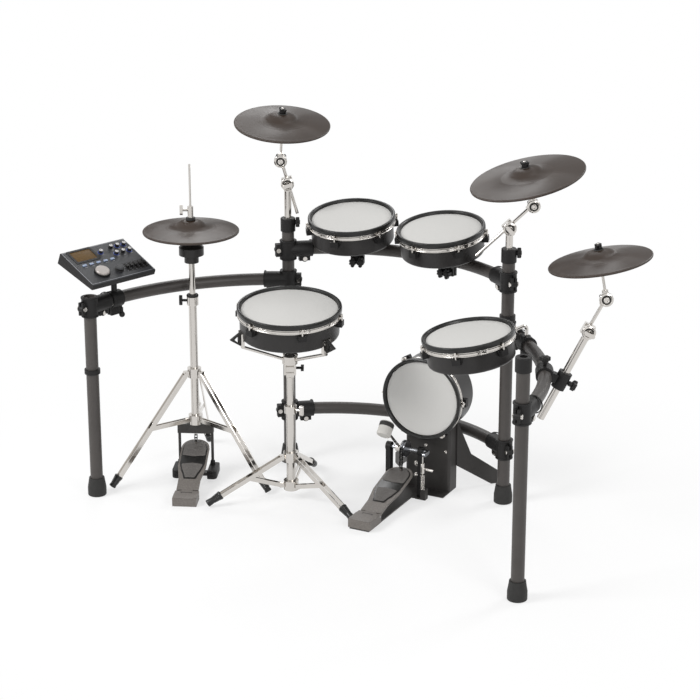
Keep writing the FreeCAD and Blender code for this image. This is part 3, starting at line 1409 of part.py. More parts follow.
stem_frame = axle_place * turned(X_AXIS, beater_rest_lean)
clamp_side = -half_cam - d.moving_gap - d.beater_clamp_width
stem_low = d.axle_radius + d.seat_gap
stem_clamp_blank = cylinder("beater_clamp_blank", d.beater_clamp_radius, d.beater_clamp_width,
                            spot(clamp_side) * along_x)
stem_clamp_bore = cylinder("beater_clamp_bore", d.axle_radius + d.seat_gap, 2 * d.beater_clamp_width,
                           spot(clamp_side - d.beater_clamp_width / 2) * along_x)
stem_x = clamp_side + d.beater_clamp_width / 2
stem = cylinder("beater_stem", d.beater_stem_radius, d.beater_stem_length - stem_low,
                spot(stem_x, 0, stem_low))
beater_clamp = cut("beater_clamp", fused("beater_clamp_body", stem_clamp_blank, stem), stem_clamp_bore)
half_head = d.beater_head_length / 2
head_round = d.beater_stem_radius
beater_head = revolved("beater_head_blank", [
    (0, -half_head), (d.beater_head_radius - head_round, -half_head, head_round),
    (d.beater_head_radius, head_round - half_head),
                                             (d.beater_head_radius, half_head - head_round, head_round),
    (d.beater_head_radius - head_round, half_head), (0, half_head)])
beater_head.Placement = spot(stem_x, 0, d.beater_stem_length) * along_y
head_bore = cylinder("beater_head_bore", d.beater_stem_radius + d.seat_gap,
                     d.beater_head_radius + d.seat_gap,
                     spot(stem_x, 0, d.beater_stem_length - d.beater_head_radius))
bored_head = cut("beater_head", beater_head, head_bore)
node("kick_beater", (beater_clamp, stem_frame), (bored_head, stem_frame))

# Roller chain: plates of round-ended bars in pairs, inner and outer by turns, with rollers on pins between
link_plate = stadium("link_plate", d.chain_pitch + d.chain_plate_height, d.chain_plate_height, d.chain_plate)
roller = cylinder("chain_roller", d.chain_roller_radius, d.chain_inside)
outer_width = d.chain_inside + 2 * d.chain_plate + 2 * d.seat_gap
chain_pin = cylinder("chain_pin", d.chain_pin_radius, outer_width)


def chain(start, direction, side, links):
    # A straight run of links from a start point; side is the direction of the pins.
    run = facing(start, side, Vector(side).cross(direction))
    pieces = []
    for number in range(links):
        middle = run * spot((number + 0.5) * d.chain_pitch)
        offset = d.chain_inside / 2 + (number % 2) * (d.chain_plate + d.seat_gap)
        pieces.append((link_plate, middle * spot(z=offset)))
        pieces.append((link_plate, middle * spot(z=-offset - d.chain_plate)))
    for number in range(links + 1):
        pieces.append((roller, run * spot(number * d.chain_pitch, 0, -d.chain_inside / 2)))
    return pieces


kick_loop = board_frame * spot(0, d.board_length - d.toe_setback, loop_top)
node("kick_chain", *chain(kick_loop.Base, Z_AXIS, X_AXIS, chain_links))


# Return spring: one wire wound on biarcs, each quarter turn of the helix replaced by two tangent arcs

def biarc(start, start_way, stop, stop_way):
    gap = stop - start
    ways = start_way + stop_way
    bend = 2 * (1 - start_way.dot(stop_way))
    lean = gap.dot(ways)
    reach = (math.sqrt(lean * lean + bend * gap.dot(gap)) - lean) / bend
    knee = start + start_way * reach
    far_knee = stop - stop_way * reach
    middle = (knee + far_knee) * 0.5
    return [arc_between(start, knee, middle), arc_between(middle, far_knee, stop)]


def arc_between(start, knee, stop):
    # The arc that leaves start towards the knee and ends at stop, coming from the knee.
    back = (start - knee).normalize()
    on = (stop - knee).normalize()
    half_angle = math.acos(max(-1, min(1, back.dot(on)))) / 2
    reach = (start - knee).Length
    inward = (back + on).normalize()
    radius = reach * math.tan(half_angle)
    centre = knee + inward * (reach / math.cos(half_angle))
    return Part.Arc(start, centre - inward * radius, stop).toShape()


def coil_wire(radius, length, turns):
    steps_per_turn = 4
    pitch = length / turns
    points = []
    for step in range(turns * steps_per_turn + 1):
        angle = 2 * math.pi * step / steps_per_turn
        points.append(Vector(radius * math.cos(angle), radius * math.sin(angle),
                             pitch * step / steps_per_turn))
    slope = math.hypot(2 * math.pi * radius, pitch)
    ways = [Vector(-p.y * 2 * math.pi, p.x * 2 * math.pi, pitch) * (1 / slope) for p in points]
    edges = []
    for number in range(len(points) - 1):
        edges += biarc(points[number], ways[number], points[number + 1], ways[number + 1])
    return Part.Wire(edges), points[0], ways[0]


def coil_spring(radius, wire_radius, length, turns):
    path, first, way = coil_wire(radius, length, turns)
    profile = Part.Wire(Part.Circle(first, way, wire_radius).toShape())
    shell = Part.BRepOffsetAPI.MakePipeShell(path)
    shell.add(profile)
    shell.build()
    shell.makeSolid()
    clear = length / turns - 2 * wire_radius
    samples = path.discretize(turns * 24)
    far_points = [(a, b) for i, a in enumerate(samples) for b in samples[i + 18:i + 30]]
    least = min((b - a).Length for a, b in far_points) - 2 * wire_radius
    print(f"spring: pitch gap {clear:.2f} mm, least gap of the wire to itself {least:.2f} mm")
    return shell.shape()


spring_low = d.spring_foot_height + d.spring_wire + d.seat_gap
crank_pin = axle_place * spot(axle_out - d.axle_end / 2, -d.crank_length, 0)
spring_coil = doc.addObject("Part::Feature", "spring_coil")
spring_coil.Shape = coil_spring(float(d.spring_radius - d.spring_wire), float(d.spring_wire),
                                float(d.spring_length), spring_turns)
spring_spot = spot(spring_x, crank_pin.Base.y, spring_low)
rod_low = d.spring_foot_height + 2 * d.spring_wire + d.spring_length + d.moving_gap
rod_length = d.pedal_axle_height - d.crank_width / 2 - d.moving_gap - rod_low - d.spring_rod
spring_cap = cylinder("spring_cap", d.spring_radius, d.spring_rod)
spring_link = cylinder("spring_link", d.spring_rod, rod_length)
node("kick_spring", (spring_coil, spring_spot), (spring_cap, spot(spring_x, crank_pin.Base.y, rod_low)),
     (spring_link, spot(spring_x, crank_pin.Base.y, rod_low + d.spring_rod)))


# Stands on three double-braced legs

def tripod(name, tube, hub_height, reach, strut_height, angles, place):
    # The leg bars with their struts, the hubs, and the boots, for legs at the given angles round Z.
    hub = tube + d.stand_hub_wall
    run = reach - hub
    lean = math.atan2(hub_height - d.boot_height, run)
    half_bar = d.leg_bar_width / 2
    foot_top = d.boot_height + half_bar * math.cos(lean) + d.seat_gap
    start_x = hub + half_bar * math.sin(lean) + d.seat_gap
    bar_run = reach - start_x
    drop = hub_height - foot_top
    slope = math.degrees(math.atan2(drop, bar_run))
    bar = box(f"{name}_leg_bar", diagonal(bar_run, drop), d.leg_bar_sheet, d.leg_bar_width)
    knee_run = bar_run * d.leg_knee_share
    knee_height = hub_height - drop * d.leg_knee_share
    strut_lean = math.atan2(knee_height - strut_height, knee_run)
    strut_x = hub + half_bar * math.sin(strut_lean) + 2 * d.moving_gap
    strut_run = start_x + knee_run - strut_x
    strut_rise = knee_height - strut_height
    strut_slope = math.degrees(math.atan2(strut_rise, strut_run))
    strut = box(f"{name}_strut", diagonal(strut_run, strut_rise), d.leg_bar_sheet, d.leg_bar_width)
    bar_side = d.leg_bar_spread / 2
    strut_side = bar_side - d.leg_bar_sheet - d.seat_gap
    boot = revolved(f"{name}_boot", [
        (0, 0), (d.boot_radius - d.boot_round, 0, d.boot_round), (d.boot_radius, d.boot_round),
        (d.boot_radius - d.boot_round, d.boot_height), (0, d.boot_height)])
    bars = []
    boots = []
    for angle in angles:
        spoke = place * turned(Z_AXIS, angle)
        for side in (-1, 1):
            bars.append((bar, spoke * spot(start_x, side * bar_side, hub_height) * turned(Y_AXIS, slope) *
                         spot(0, -d.leg_bar_sheet / 2, -half_bar)))
            bars.append((strut, spoke * spot(strut_x, side * strut_side, strut_height) *
                         turned(Y_AXIS, -strut_slope) * spot(0, -d.leg_bar_sheet / 2, -half_bar)))
        boots.append((boot, spoke * spot(reach)))
    hubs = [(leg_hub(f"{name}_leg_hub", tube, bar_side, angles), place * spot(z=hub_height)),
            (leg_hub(f"{name}_strut_hub", tube, strut_side, angles), place * spot(z=strut_height))]
    return bars, hubs, boots


def leg_hub(name, tube, bar_side, angles):
    # A collar with a lug between the two bars of each leg.
    hub = tube + d.stand_hub_wall
    collar = cylinder(f"{name}_collar", hub, d.stand_hub_height, spot(z=-d.stand_hub_height / 2))
    reach = hub + d.leg_bar_width
    width = 2 * (bar_side - d.seat_gap) - d.leg_bar_sheet
    lugs = [box(f"{name}_lug", reach, width, d.leg_bar_width,
                turned(Z_AXIS, angle) * spot(reach / 2, 0, -d.leg_bar_width / 2)) for angle in angles]
    bore = cylinder(f"{name}_bore", tube + d.seat_gap, 2 * d.stand_hub_height, spot(z=-d.stand_hub_height))
    return cut(name, fused(f"{name}_blank", collar, *lugs), bore)


bar_top = d.hihat_bar_bottom + d.hihat_bar_height
hihat = spot(d.hihat_x, d.hihat_y) * turned(Z_AXIS, hihat_heading)
hihat_bars, hihat_hubs, hihat_boots = tripod("hihat", d.hihat_tube_radius, d.hihat_hub_height,
                                             d.hihat_leg_radius,
                                             bar_top + d.stand_hub_height / 2, hihat_leg_angles, hihat)
snare_stand = spot(d.snare_x, d.snare_y)
snare_bars, snare_hubs, snare_boots = tripod("snare", d.snare_tube_radius, d.snare_hub_height,
                                             d.snare_leg_radius,
                                             d.snare_strut_height, snare_leg_angles, snare_stand)
node("hihat_legs", *hihat_bars, *hihat_hubs)
node("snare_legs", *snare_bars, *snare_hubs)
node("stand_feet", *hihat_boots, *snare_boots)

# Hi-hat tubes, clutch, cymbal and controller

rod_bore = d.pull_rod_radius + d.running_gap
lower_tube = ring("hihat_lower_tube", d.hihat_tube_radius, d.hihat_tube_radius - d.hihat_tube_wall,
                  d.hihat_tube_top - bar_top)
upper_tube = ring("hihat_upper_tube", d.hihat_upper_radius, d.hihat_upper_radius - d.hihat_tube_wall,
                  d.hihat_upper_top - d.hihat_upper_bottom)
hihat_collar = revolved("hihat_collar", [
    (d.hihat_tube_radius + d.seat_gap, -d.hihat_collar_height / 2),
                                         (d.hihat_collar_radius, -d.hihat_collar_height / 2),
    (d.hihat_collar_radius, d.hihat_collar_height / 2),
                                         (d.hihat_upper_radius + d.seat_gap, d.hihat_collar_height / 2),
    (d.hihat_upper_radius + d.seat_gap, 0), (d.hihat_tube_radius + d.seat_gap, 0)])
collar_screw = spot(z=d.hihat_tube_top) * turned(Z_AXIS,
                                                 180) * along_x * spot(z=d.hihat_collar_radius + d.seat_gap)
node("hihat_tube", (lower_tube, hihat * spot(z=bar_top)), (upper_tube, hihat * spot(z=d.hihat_upper_bottom)),
     (hihat_collar, hihat * spot(z=d.hihat_tube_top)), (wing_knob, hihat * collar_screw))
cup_base = d.control_foot_height
cup_top = cup_base + d.control_cup_height
controller = revolved("hihat_controller_body", [
    (rod_bore, 0), (d.control_foot_radius, 0), (d.control_foot_radius, cup_base),
                                                (d.control_cup_radius, cup_base),
    (d.control_cup_radius, cup_top), (d.control_top_radius, cup_top + d.control_cone_height),
    (rod_bore, cup_top + d.control_cone_height)])
node("hihat_controller", (controller, hihat * spot(z=d.hihat_upper_top)))
clutch_bore = d.pull_rod_radius + d.seat_gap
hat_seat = d.hihat_rim_height + bell_under
clutch_low = hat_seat - d.hihat_nut_height
clutch_sleeve = d.cymbal_hole - d.seat_gap
hat_top = hat_seat + d.cymbal_thickness
clutch = revolved("hihat_clutch_body", [
    (clutch_bore, clutch_low), (d.hihat_nut_radius, clutch_low),
                                        (d.hihat_nut_radius, clutch_low + d.rock_gap),
    (d.post_seat_radius, hat_seat - d.rock_gap), (clutch_sleeve, hat_seat - d.rock_gap),
                                        (clutch_sleeve, hat_top),
    (d.hihat_nut_radius, hat_top),
    (d.hihat_nut_radius, hat_top + d.hihat_nut_height),
                                        (d.hihat_clutch_radius, hat_top + d.hihat_nut_height),
    (d.hihat_clutch_radius, hat_top + d.hihat_clutch_length),
                                        (clutch_bore, hat_top + d.hihat_clutch_length)])
clutch_screw = spot(z=hat_top + d.hihat_clutch_length - d.knob_width) * turned(Z_AXIS, 180) * along_x
node("hihat_clutch", (clutch, hihat), (wing_knob,
                                       hihat * clutch_screw * spot(z=d.hihat_clutch_radius + d.seat_gap)))
node("hihat_cymbal", (crash_disc, hihat * spot(z=d.hihat_rim_height)))
frames["hihat_rod"] = hihat

# Hi-hat pedal: a cross bar below the tube on two rods, a base plate, and a heel block joined by a floor link

cross_bar_blank = box("hihat_cross_bar_blank", d.hihat_bar_length, d.hihat_bar_depth, d.hihat_bar_height,
                      spot(z=d.hihat_bar_bottom))
cross_bar_bore = cylinder("hihat_cross_bar_bore", rod_bore, 2 * d.hihat_bar_height,
                          spot(z=d.hihat_bar_bottom - d.hihat_bar_height / 2))
cross_bar = cut("hihat_cross_bar", cross_bar_blank, cross_bar_bore)
frame_rod = cylinder("hihat_frame_rod", d.hihat_frame_rod_radius, d.hihat_bar_bottom - d.hihat_base_height)
rod_x = d.hihat_bar_length / 2 - d.hihat_frame_rod_radius
hihat_base = box("hihat_base", d.hihat_bar_length, d.hihat_bar_depth, d.hihat_base_height)
link_length = -d.hihat_hinge_y - d.hihat_bar_depth / 2
hihat_link = box("hihat_link", d.hihat_link_width, link_length, d.pedal_plate,
                 spot(0, d.hihat_hinge_y + link_length / 2))
hihat_heel_place = hihat * spot(0, d.hihat_hinge_y)
hihat_heel, hihat_heel_pin, hihat_hinge = heel_block("hihat_heel", d.pedal_heel_width, d.hihat_heel_length,
                                                     d.pedal_heel_height, hihat_heel_place)
node("hihat_pedal_base", (cross_bar, hihat), (hihat_base, hihat * hihat_base.Placement),
     (hihat_link, hihat * hihat_link.Placement), hihat_heel, hihat_heel_pin,
     *[(frame_rod, hihat * spot(side * rod_x, 0, d.hihat_base_height)) for side in (-1, 1)])
frames["hihat_pedal"] = hihat_hinge
hihat_board_lean = lean_to_chain(-d.hihat_hinge_y + d.board_hinge_radius + d.moving_gap,
                                 d.hihat_board_length)
hihat_board_frame = hihat_hinge * turned(X_AXIS, hihat_board_lean) * spot(z=-d.board_thickness / 2)
hihat_board = footboard("hihat_board", d.hihat_board_length, d.board_heel_width, d.board_toe_width)
node("hihat_footboard", (hihat_board, hihat_board_frame))
hat_loop = hihat_board_frame * spot(0, d.hihat_board_length - d.toe_setback, loop_top)
hat_chain_top = hat_loop.Base.z + hihat_chain_links * d.chain_pitch + d.chain_plate_height / 2 + d.seat_gap
pull_rod = cylinder("pull_rod", d.pull_rod_radius, d.pull_rod_top - hat_chain_top)
node("hihat_rod", (pull_rod, hihat * spot(z=hat_chain_top)))
node("hihat_chain", *chain(hat_loop.Base, Z_AXIS, hihat.Rotation.multVec(X_AXIS), hihat_chain_links))


# Snare stand: column, tilting basket and the pad that lies in it

snare_lower = ring("snare_lower_tube", d.snare_tube_radius, d.snare_tube_radius - d.snare_tube_wall,
                   d.snare_tube_top - d.snare_tube_bottom)
snare_upper = ring("snare_upper_tube", d.snare_upper_radius, d.snare_upper_radius - d.snare_tube_wall,
                   d.snare_upper_top - d.snare_upper_bottom)
snare_collar = revolved("snare_collar", [
    (d.snare_tube_radius + d.seat_gap, -d.snare_collar_height / 2),
                                         (d.snare_collar_radius, -d.snare_collar_height / 2),
    (d.snare_collar_radius, d.snare_collar_height / 2),
                                         (d.snare_upper_radius + d.seat_gap, d.snare_collar_height / 2),
    (d.snare_upper_radius + d.seat_gap, 0), (d.snare_tube_radius + d.seat_gap, 0)])
snare_screw = spot(z=d.snare_tube_top) * along_x * spot(z=d.snare_collar_radius + d.seat_gap)
basket_frame = leaning(spot(d.snare_x, d.snare_y, d.basket_pivot_height), snare_heading, snare_lean)
knuckle_turn = spot(d.snare_x, d.snare_y, d.basket_pivot_height) * turned(Z_AXIS, snare_heading)
knuckle_rise = d.basket_pivot_height - d.snare_upper_top
knuckle_disc = cylinder("snare_knuckle_disc", d.tilter_radius, 2 * half_width,
                        spot(0, -half_width) * along_y)
knuckle_stem = box("snare_knuckle_stem", 2 * d.post_collar_radius, 2 * half_width, knuckle_rise,
                   spot(z=-knuckle_rise))
knuckle_bore = cylinder("snare_knuckle_bore", d.tilter_pin_radius + d.running_gap, 4 * half_width,
                        spot(0, -2 * half_width) * along_y)
snare_knuckle = cut("snare_knuckle", fused("snare_knuckle_blank", knuckle_disc, knuckle_stem), knuckle_bore)
node("snare_column", (snare_lower, snare_stand * spot(z=d.snare_tube_bottom)),
     (snare_upper, snare_stand * spot(z=d.snare_upper_bottom)),
     (snare_collar, snare_stand * spot(z=d.snare_tube_top)),
     (wing_knob, snare_stand * snare_screw), (snare_knuckle, knuckle_turn))
frames["snare_tilt"] = basket_frame * ear_plane

snare_rise = d.snare_head_height - d.basket_pivot_height
snare_bottom = snare_rise - d.snare_depth
hub_low = d.tilter_radius + d.moving_gap
ear_wall = d.tilter_width / 2
hub_disc = cylinder("basket_hub", d.basket_hub_radius, d.basket_hub_height, spot(z=hub_low))
cheek_height = hub_low + d.tilter_radius
cheeks = [box("basket_cheek", 2 * d.tilter_radius, ear_wall, cheek_height,
              spot(0, side * (half_width + d.moving_gap + ear_wall / 2), hub_low - cheek_height))
          for side in (-1, 1)]
cheek_span = 2 * (half_width + d.moving_gap + ear_wall)
cheek_bore = cylinder("basket_pin_bore", d.tilter_pin_radius + d.seat_gap, 2 * cheek_span,
                      spot(0, -cheek_span) * along_y)
basket_pin = cylinder("basket_pin", d.tilter_pin_radius, cheek_span)
arm_level = hub_low + d.basket_hub_height / 2
hook_radius = snare_pad.body_radius + d.seat_gap
arm_out = hook_radius - d.basket_hub_radius * 2 / 3
arm_up = snare_bottom - d.basket_arm_drop - arm_level
arm_bar_length = diagonal(arm_out, arm_up)
arm_slope = math.degrees(math.atan2(arm_up, arm_out))
basket_rod = cylinder("basket_rod", d.basket_arm_radius, arm_bar_length)
rod_sink = d.basket_hub_radius / 3
rod_starts = [turned(Z_AXIS, angle - snare_heading) * spot(d.basket_hub_radius - rod_sink, 0, arm_level) *
              turned(Y_AXIS, 90 - arm_slope) for angle in basket_arm_angles]
rod_bores = [cylinder("basket_rod_bore", d.basket_arm_radius + d.seat_gap, arm_bar_length, place)
             for place in rod_starts]
basket_hub = cut("basket_hub_body", fused("basket_hub_blank", hub_disc, *cheeks), cheek_bore, *rod_bores)
arm_hook_height = d.basket_hook_height + d.basket_arm_drop
hook_level = snare_bottom - d.basket_arm_drop + d.basket_arm_radius
hook_block = box("basket_hook_block", d.basket_hook_depth + d.cut_overrun, d.basket_hook_width,
                 arm_hook_height,
                 spot(hook_radius + (d.basket_hook_depth - d.cut_overrun) / 2, 0, hook_level))
hook_seat = cylinder("basket_hook_seat", hook_radius, d.snare_depth, spot(z=snare_bottom - d.seat_gap))
basket_hook = cut("basket_hook", hook_block, hook_seat)
loop_wall = d.basket_loop_wall
loop_blank = padded("basket_loop_blank", [
    (0, 0), (d.basket_loop_reach, arm_hook_height / 2), (0, arm_hook_height)], d.basket_loop_thickness)
loop_opening = padded("basket_loop_opening", [
    (loop_wall, loop_wall * 3 / 2), (d.basket_loop_reach - 2 * loop_wall, arm_hook_height / 2),
    (loop_wall, arm_hook_height - loop_wall * 3 / 2)], d.basket_loop_thickness)
basket_loop = cut("basket_loop", loop_blank, loop_opening)
loop_place = (spot(hook_radius + d.basket_hook_depth + d.seat_gap, 0, hook_level) * turned(X_AXIS, 90) *
              spot(z=-d.basket_loop_thickness / 2))
basket_arms = [(basket_rod, basket_frame * place) for place in rod_starts]
hook_turns = [basket_frame * turned(Z_AXIS, angle - snare_heading) for angle in basket_arm_angles]
basket_arms += [(basket_hook, turn) for turn in hook_turns]
basket_arms += [(basket_loop, turn * loop_place) for turn in hook_turns]
basket_screw = spot(0, cheek_span / 2 + d.seat_gap) * along_y
node("snare_basket", (basket_hub, basket_frame),
     (basket_pin, basket_frame * spot(0, -cheek_span / 2) * along_y),
     (wing_knob, basket_frame * basket_screw), *basket_arms)
snare_pad.nodes("snare", basket_frame * spot(z=snare_rise), snare_first_lug)


# Sound module on its holder

module_turn = turned(Z_AXIS, module_heading) * turned(X_AXIS, module_lean)
module = spot(d.module_x, d.module_y, d.module_height) * module_turn
half_depth = d.module_depth / 2
side_on = Placement(Vector(-d.module_width / 2, 0, 0), Rotation(Y_AXIS, Z_AXIS, X_AXIS, "ZXY"))
corner = d.module_round
case_blank = padded("module_case_blank", [
    (-half_depth, -d.module_front), (half_depth, -d.module_rear), (half_depth, -corner, corner),
    (half_depth - corner, 0), (corner - half_depth, 0, corner), (-half_depth, -corner)], d.module_width)
case_blank.Placement = side_on
screen_cut = box("module_screen_cut", d.module_screen_width, d.module_screen_depth,
                 2 * d.module_screen_recess,
                 spot(d.module_screen_left + d.module_screen_width / 2,
                      d.module_screen_back - d.module_screen_depth / 2, -d.module_screen_recess))
fader_count = 5
fader_spots = [spot(d.fader_left + d.fader_pitch * number, d.fader_y) for number in range(fader_count)]
slots = [box("fader_slot", d.fader_slot_width, d.fader_slot_length, 2 * d.fader_slot_depth,
             place * spot(z=-d.fader_slot_depth)) for place in fader_spots]
button_count = 5
button_spots = [spot(d.button_left + d.button_width / 2 + d.button_pitch * number, d.button_y)
                for number in range(button_count)]
pockets = [box("button_pocket", d.button_width + 2 * d.moving_gap, d.button_depth + 2 * d.moving_gap,
               2 * d.button_height, place * spot(z=-d.button_height)) for place in button_spots]
module_case = cut("module_case_solid", case_blank, screen_cut, *slots, *pockets)
case_under = (d.module_rear + d.module_front) / 2
case_slope = math.degrees(math.atan2(d.module_rear - d.module_front, d.module_depth))
under = module * spot(z=-case_under) * turned(X_AXIS, -case_slope)
holder_arm = left_arm.frame(math.radians(left_arm.sweep) * left_arm.radius - d.holder_from_leg,
                            d.left_arm_height)
pivot_level = under * spot(z=-d.holder_plate_sheet - d.pivot_drop)
tilted_up = under.Rotation.multVec(Z_AXIS)
aside = holder_arm.Base - pivot_level.Base
pivot_rise = (tilted_up.x * aside.x + tilted_up.y * aside.y) / tilted_up.z
holder_pivot = Placement(Vector(holder_arm.Base.x, holder_arm.Base.y, pivot_level.Base.z - pivot_rise),
                         under.Rotation)
plate_place = holder_pivot * spot(z=d.pivot_drop)
holder_plate = box("holder_plate", d.holder_plate_width, d.holder_plate_depth, d.holder_plate_sheet)
module_hinge = holder_pivot * along_x
module_ears = [(drilled_ear, holder_pivot * Placement(Vector(place, 0, 0),
                                                      Rotation(Y_AXIS, Z_AXIS, X_AXIS, "ZXY")))
               for place in (clevis_gap, -clevis_gap - d.bracket_ear)]
node("module_case", (module_case, module),
     (holder_plate, plate_place * holder_plate.Placement), *module_ears,
     (clevis_pin, module_hinge * spot(z=-pin_length / 2)))
frames["module_tilt"] = module_hinge
holder_low = holder_arm.Base
holder_run = holder_pivot.Base - holder_low
holder_post = cylinder("holder_post", d.holder_post_radius, Size(holder_run.Length, repr(holder_run.Length)),
                       facing(holder_low, holder_run, X_AXIS))
holder_boss = cylinder("holder_boss", d.pivot_radius, d.pivot_boss, module_hinge * spot(z=-d.pivot_boss / 2))
holder_ring = cylinder("holder_ring", arm_ring_outer, d.rail_clamp_length,
                       holder_arm * turned(X_AXIS, 90) * spot(z=-d.rail_clamp_length / 2))
holder_ear = box("holder_ear", d.rail_ear_width, d.rail_clamp_length, arm_ring_outer + d.rail_ear_drop,
                 holder_arm * spot(z=-arm_ring_outer - d.rail_ear_drop))
holder_bore = left_arm.bore("holder_bore", holder_arm, 2 * d.rail_clamp_length)
holder_slit = box("holder_slit", d.ear_slit, 2 * d.rail_clamp_length,
                  arm_ring_outer + d.rail_ear_drop + d.cut_overrun,
                  holder_arm * spot(z=-arm_ring_outer - d.rail_ear_drop - d.cut_overrun))
holder_pin_hole = cylinder("holder_pin_hole", d.pivot_pin_radius + d.running_gap, 2 * d.pivot_boss,
                           module_hinge * spot(z=-d.pivot_boss))
holder = cut("module_holder_solid", fused("module_holder_blank", holder_post, holder_boss, holder_ring,
                                          holder_ear),
             holder_bore, holder_slit, holder_pin_hole, *ear_rooms("holder", module_hinge))
node("arm_clamps", *tom_mounts, holder)
node("rack_collars", *rack_collars, *collar_knobs)

dial = revolved("module_dial_body", [
    (0, 0), (d.dial_radius, 0), (d.dial_radius, d.dial_height - d.rim_round, d.rim_round),
    (d.dial_radius - d.rim_round, d.dial_height), (0, d.dial_height)])
dial_place = module * spot(d.dial_x, d.dial_y, d.seat_gap)
node("module_dial", (dial, dial_place))
frames["module_dial"] = dial_place
knob_top_share = 0.8
small_knob = revolved("small_knob", [
    (0, 0), (d.small_knob_radius, 0), (d.small_knob_radius * knob_top_share, d.small_knob_height),
    (0, d.small_knob_height)])
second_dial = revolved("second_dial", [
    (0, 0), (d.second_dial_radius, 0), (d.second_dial_radius * knob_top_share, d.small_knob_height),
    (0, d.small_knob_height)])
knob_shares = ((0.04, 0.27), (0.42, 0.33), (0.63, 0.33), (0.84, 0.33), (0.42, 0.15), (0.63, 0.15),
               (0.84, 0.15))
small_knobs = [(small_knob, module * spot(across * d.module_width / 2, back * d.module_depth, d.seat_gap))
               for across, back in knob_shares]
node("module_knobs", *small_knobs, (second_dial, module * spot(d.second_dial_x, d.second_dial_y,
                                                               d.seat_gap)))
button = box("module_button", d.button_width, d.button_depth, d.button_height)
button_rise = d.button_height - d.button_press + d.seat_gap
node("module_buttons", *[(button, module * place * button.Placement * spot(z=-button_rise + d.button_press))
                         for place in button_spots])
fader_cap = box("fader_cap_top", d.fader_width, d.fader_depth, d.fader_height, spot(z=d.seat_gap))
fader_stem = box("fader_stem", d.fader_slot_width - 2 * d.moving_gap, d.fader_depth / 2, d.fader_slot_depth,
                 spot(z=d.moving_gap - d.fader_slot_depth))
fader = fused("module_fader", fader_cap, fader_stem)
node("module_faders", *[(fader, module * place) for place in fader_spots])
frames["module_face"] = module

# Checks, the move to the middle of the floor, and the files

doc.recompute()
faults = [obj.Label for obj in doc.Objects if {"Invalid", "Error"} & set(obj.State)]
faults += [sub_part.Label for sub_part in nodes if sub_part.Shape.isNull() or not sub_part.Shape.isValid()]
if faults:
    raise RuntimeError(f"failed objects: {faults}")
whole = FreeCAD.BoundBox()
for sub_part in nodes:
    whole.add(sub_part.Shape.optimalBoundingBox(False, False))
to_middle = spot(-whole.Center.x, -whole.Center.y, -whole.ZMin)
for sub_part in nodes:
    sub_part.Placement = to_middle
doc.recompute()
os.makedirs(PARTS_FOLDER, exist_ok=True)
for sub_part in nodes:
    sub_part.Shape.exportStep(os.path.join(PARTS_FOLDER, f"{sub_part.Label}.step"))
print(f"{len(nodes)} sub-parts, {sum(len(sub_part.Shape.Solids) for sub_part in nodes)} solids")
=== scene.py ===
import json
import math
import bmesh
import bpy
from mathutils import Matrix, Vector


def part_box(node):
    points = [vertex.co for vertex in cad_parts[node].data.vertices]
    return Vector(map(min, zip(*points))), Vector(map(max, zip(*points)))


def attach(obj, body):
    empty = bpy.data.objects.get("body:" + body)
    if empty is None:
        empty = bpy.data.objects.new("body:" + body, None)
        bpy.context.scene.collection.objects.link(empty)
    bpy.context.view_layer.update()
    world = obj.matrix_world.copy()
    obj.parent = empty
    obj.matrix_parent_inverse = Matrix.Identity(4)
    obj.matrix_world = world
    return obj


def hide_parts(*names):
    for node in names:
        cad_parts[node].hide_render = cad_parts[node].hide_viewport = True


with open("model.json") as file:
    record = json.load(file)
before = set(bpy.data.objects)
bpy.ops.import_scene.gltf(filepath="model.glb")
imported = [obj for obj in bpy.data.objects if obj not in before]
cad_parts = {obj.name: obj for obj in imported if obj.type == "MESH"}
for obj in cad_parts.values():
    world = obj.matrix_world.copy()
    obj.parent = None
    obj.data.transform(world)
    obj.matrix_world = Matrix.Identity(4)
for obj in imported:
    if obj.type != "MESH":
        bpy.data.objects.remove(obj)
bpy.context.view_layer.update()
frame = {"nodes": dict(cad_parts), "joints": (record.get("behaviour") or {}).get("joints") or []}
nodes = frame["nodes"]
print("frame loaded:", len(nodes), "nodes")

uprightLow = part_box("rack_uprights")[0]
kitShift = Vector((uprightLow.x + 0.787, uprightLow.y + 0.634, 0.0))
jointAxis = {joint["name"]: Vector(joint["axis"]) for joint in frame["joints"]}
jointSpot = {joint["name"]: Vector(joint["pos_m"]) for joint in frame["joints"] if "pos_m" in joint}


def kitSpot(x, y, z):
    return Matrix.Translation(Vector((x, y, z)) / 1000 + kitShift)


def turn(axis, degrees):
    return Matrix.Rotation(math.radians(degrees), 4, axis)


def shift(x=0, y=0, z=0):
    return Matrix.Translation(Vector((x, y, z)) / 1000)


def leaning(x, y, z, heading, lean):
    return kitSpot(x, y, z) @ turn("Z", heading) @ turn("Y", lean)


def linear(hexColour):
    channels = [int(hexColour[start:start + 2], 16) / 255 for start in (1, 3, 5)]
    return [c / 12.92 if c <= 0.04045 else ((c + 0.055) / 1.055) ** 2.4 for c in channels] + [1.0]


def addNode(tree, kind, values=None, links=None, feeds=None, **settings):
    node = tree.nodes.new(kind)
    for name, value in settings.items():
        setattr(node, name, value)
    for socket, value in (values or {}).items():
        node.inputs[socket].default_value = value
    for socket, source in (links or {}).items():
        tree.links.new(source, node.inputs[socket])
    for socket, target in (feeds or {}).items():
        tree.links.new(node.outputs[socket], target)
    return node


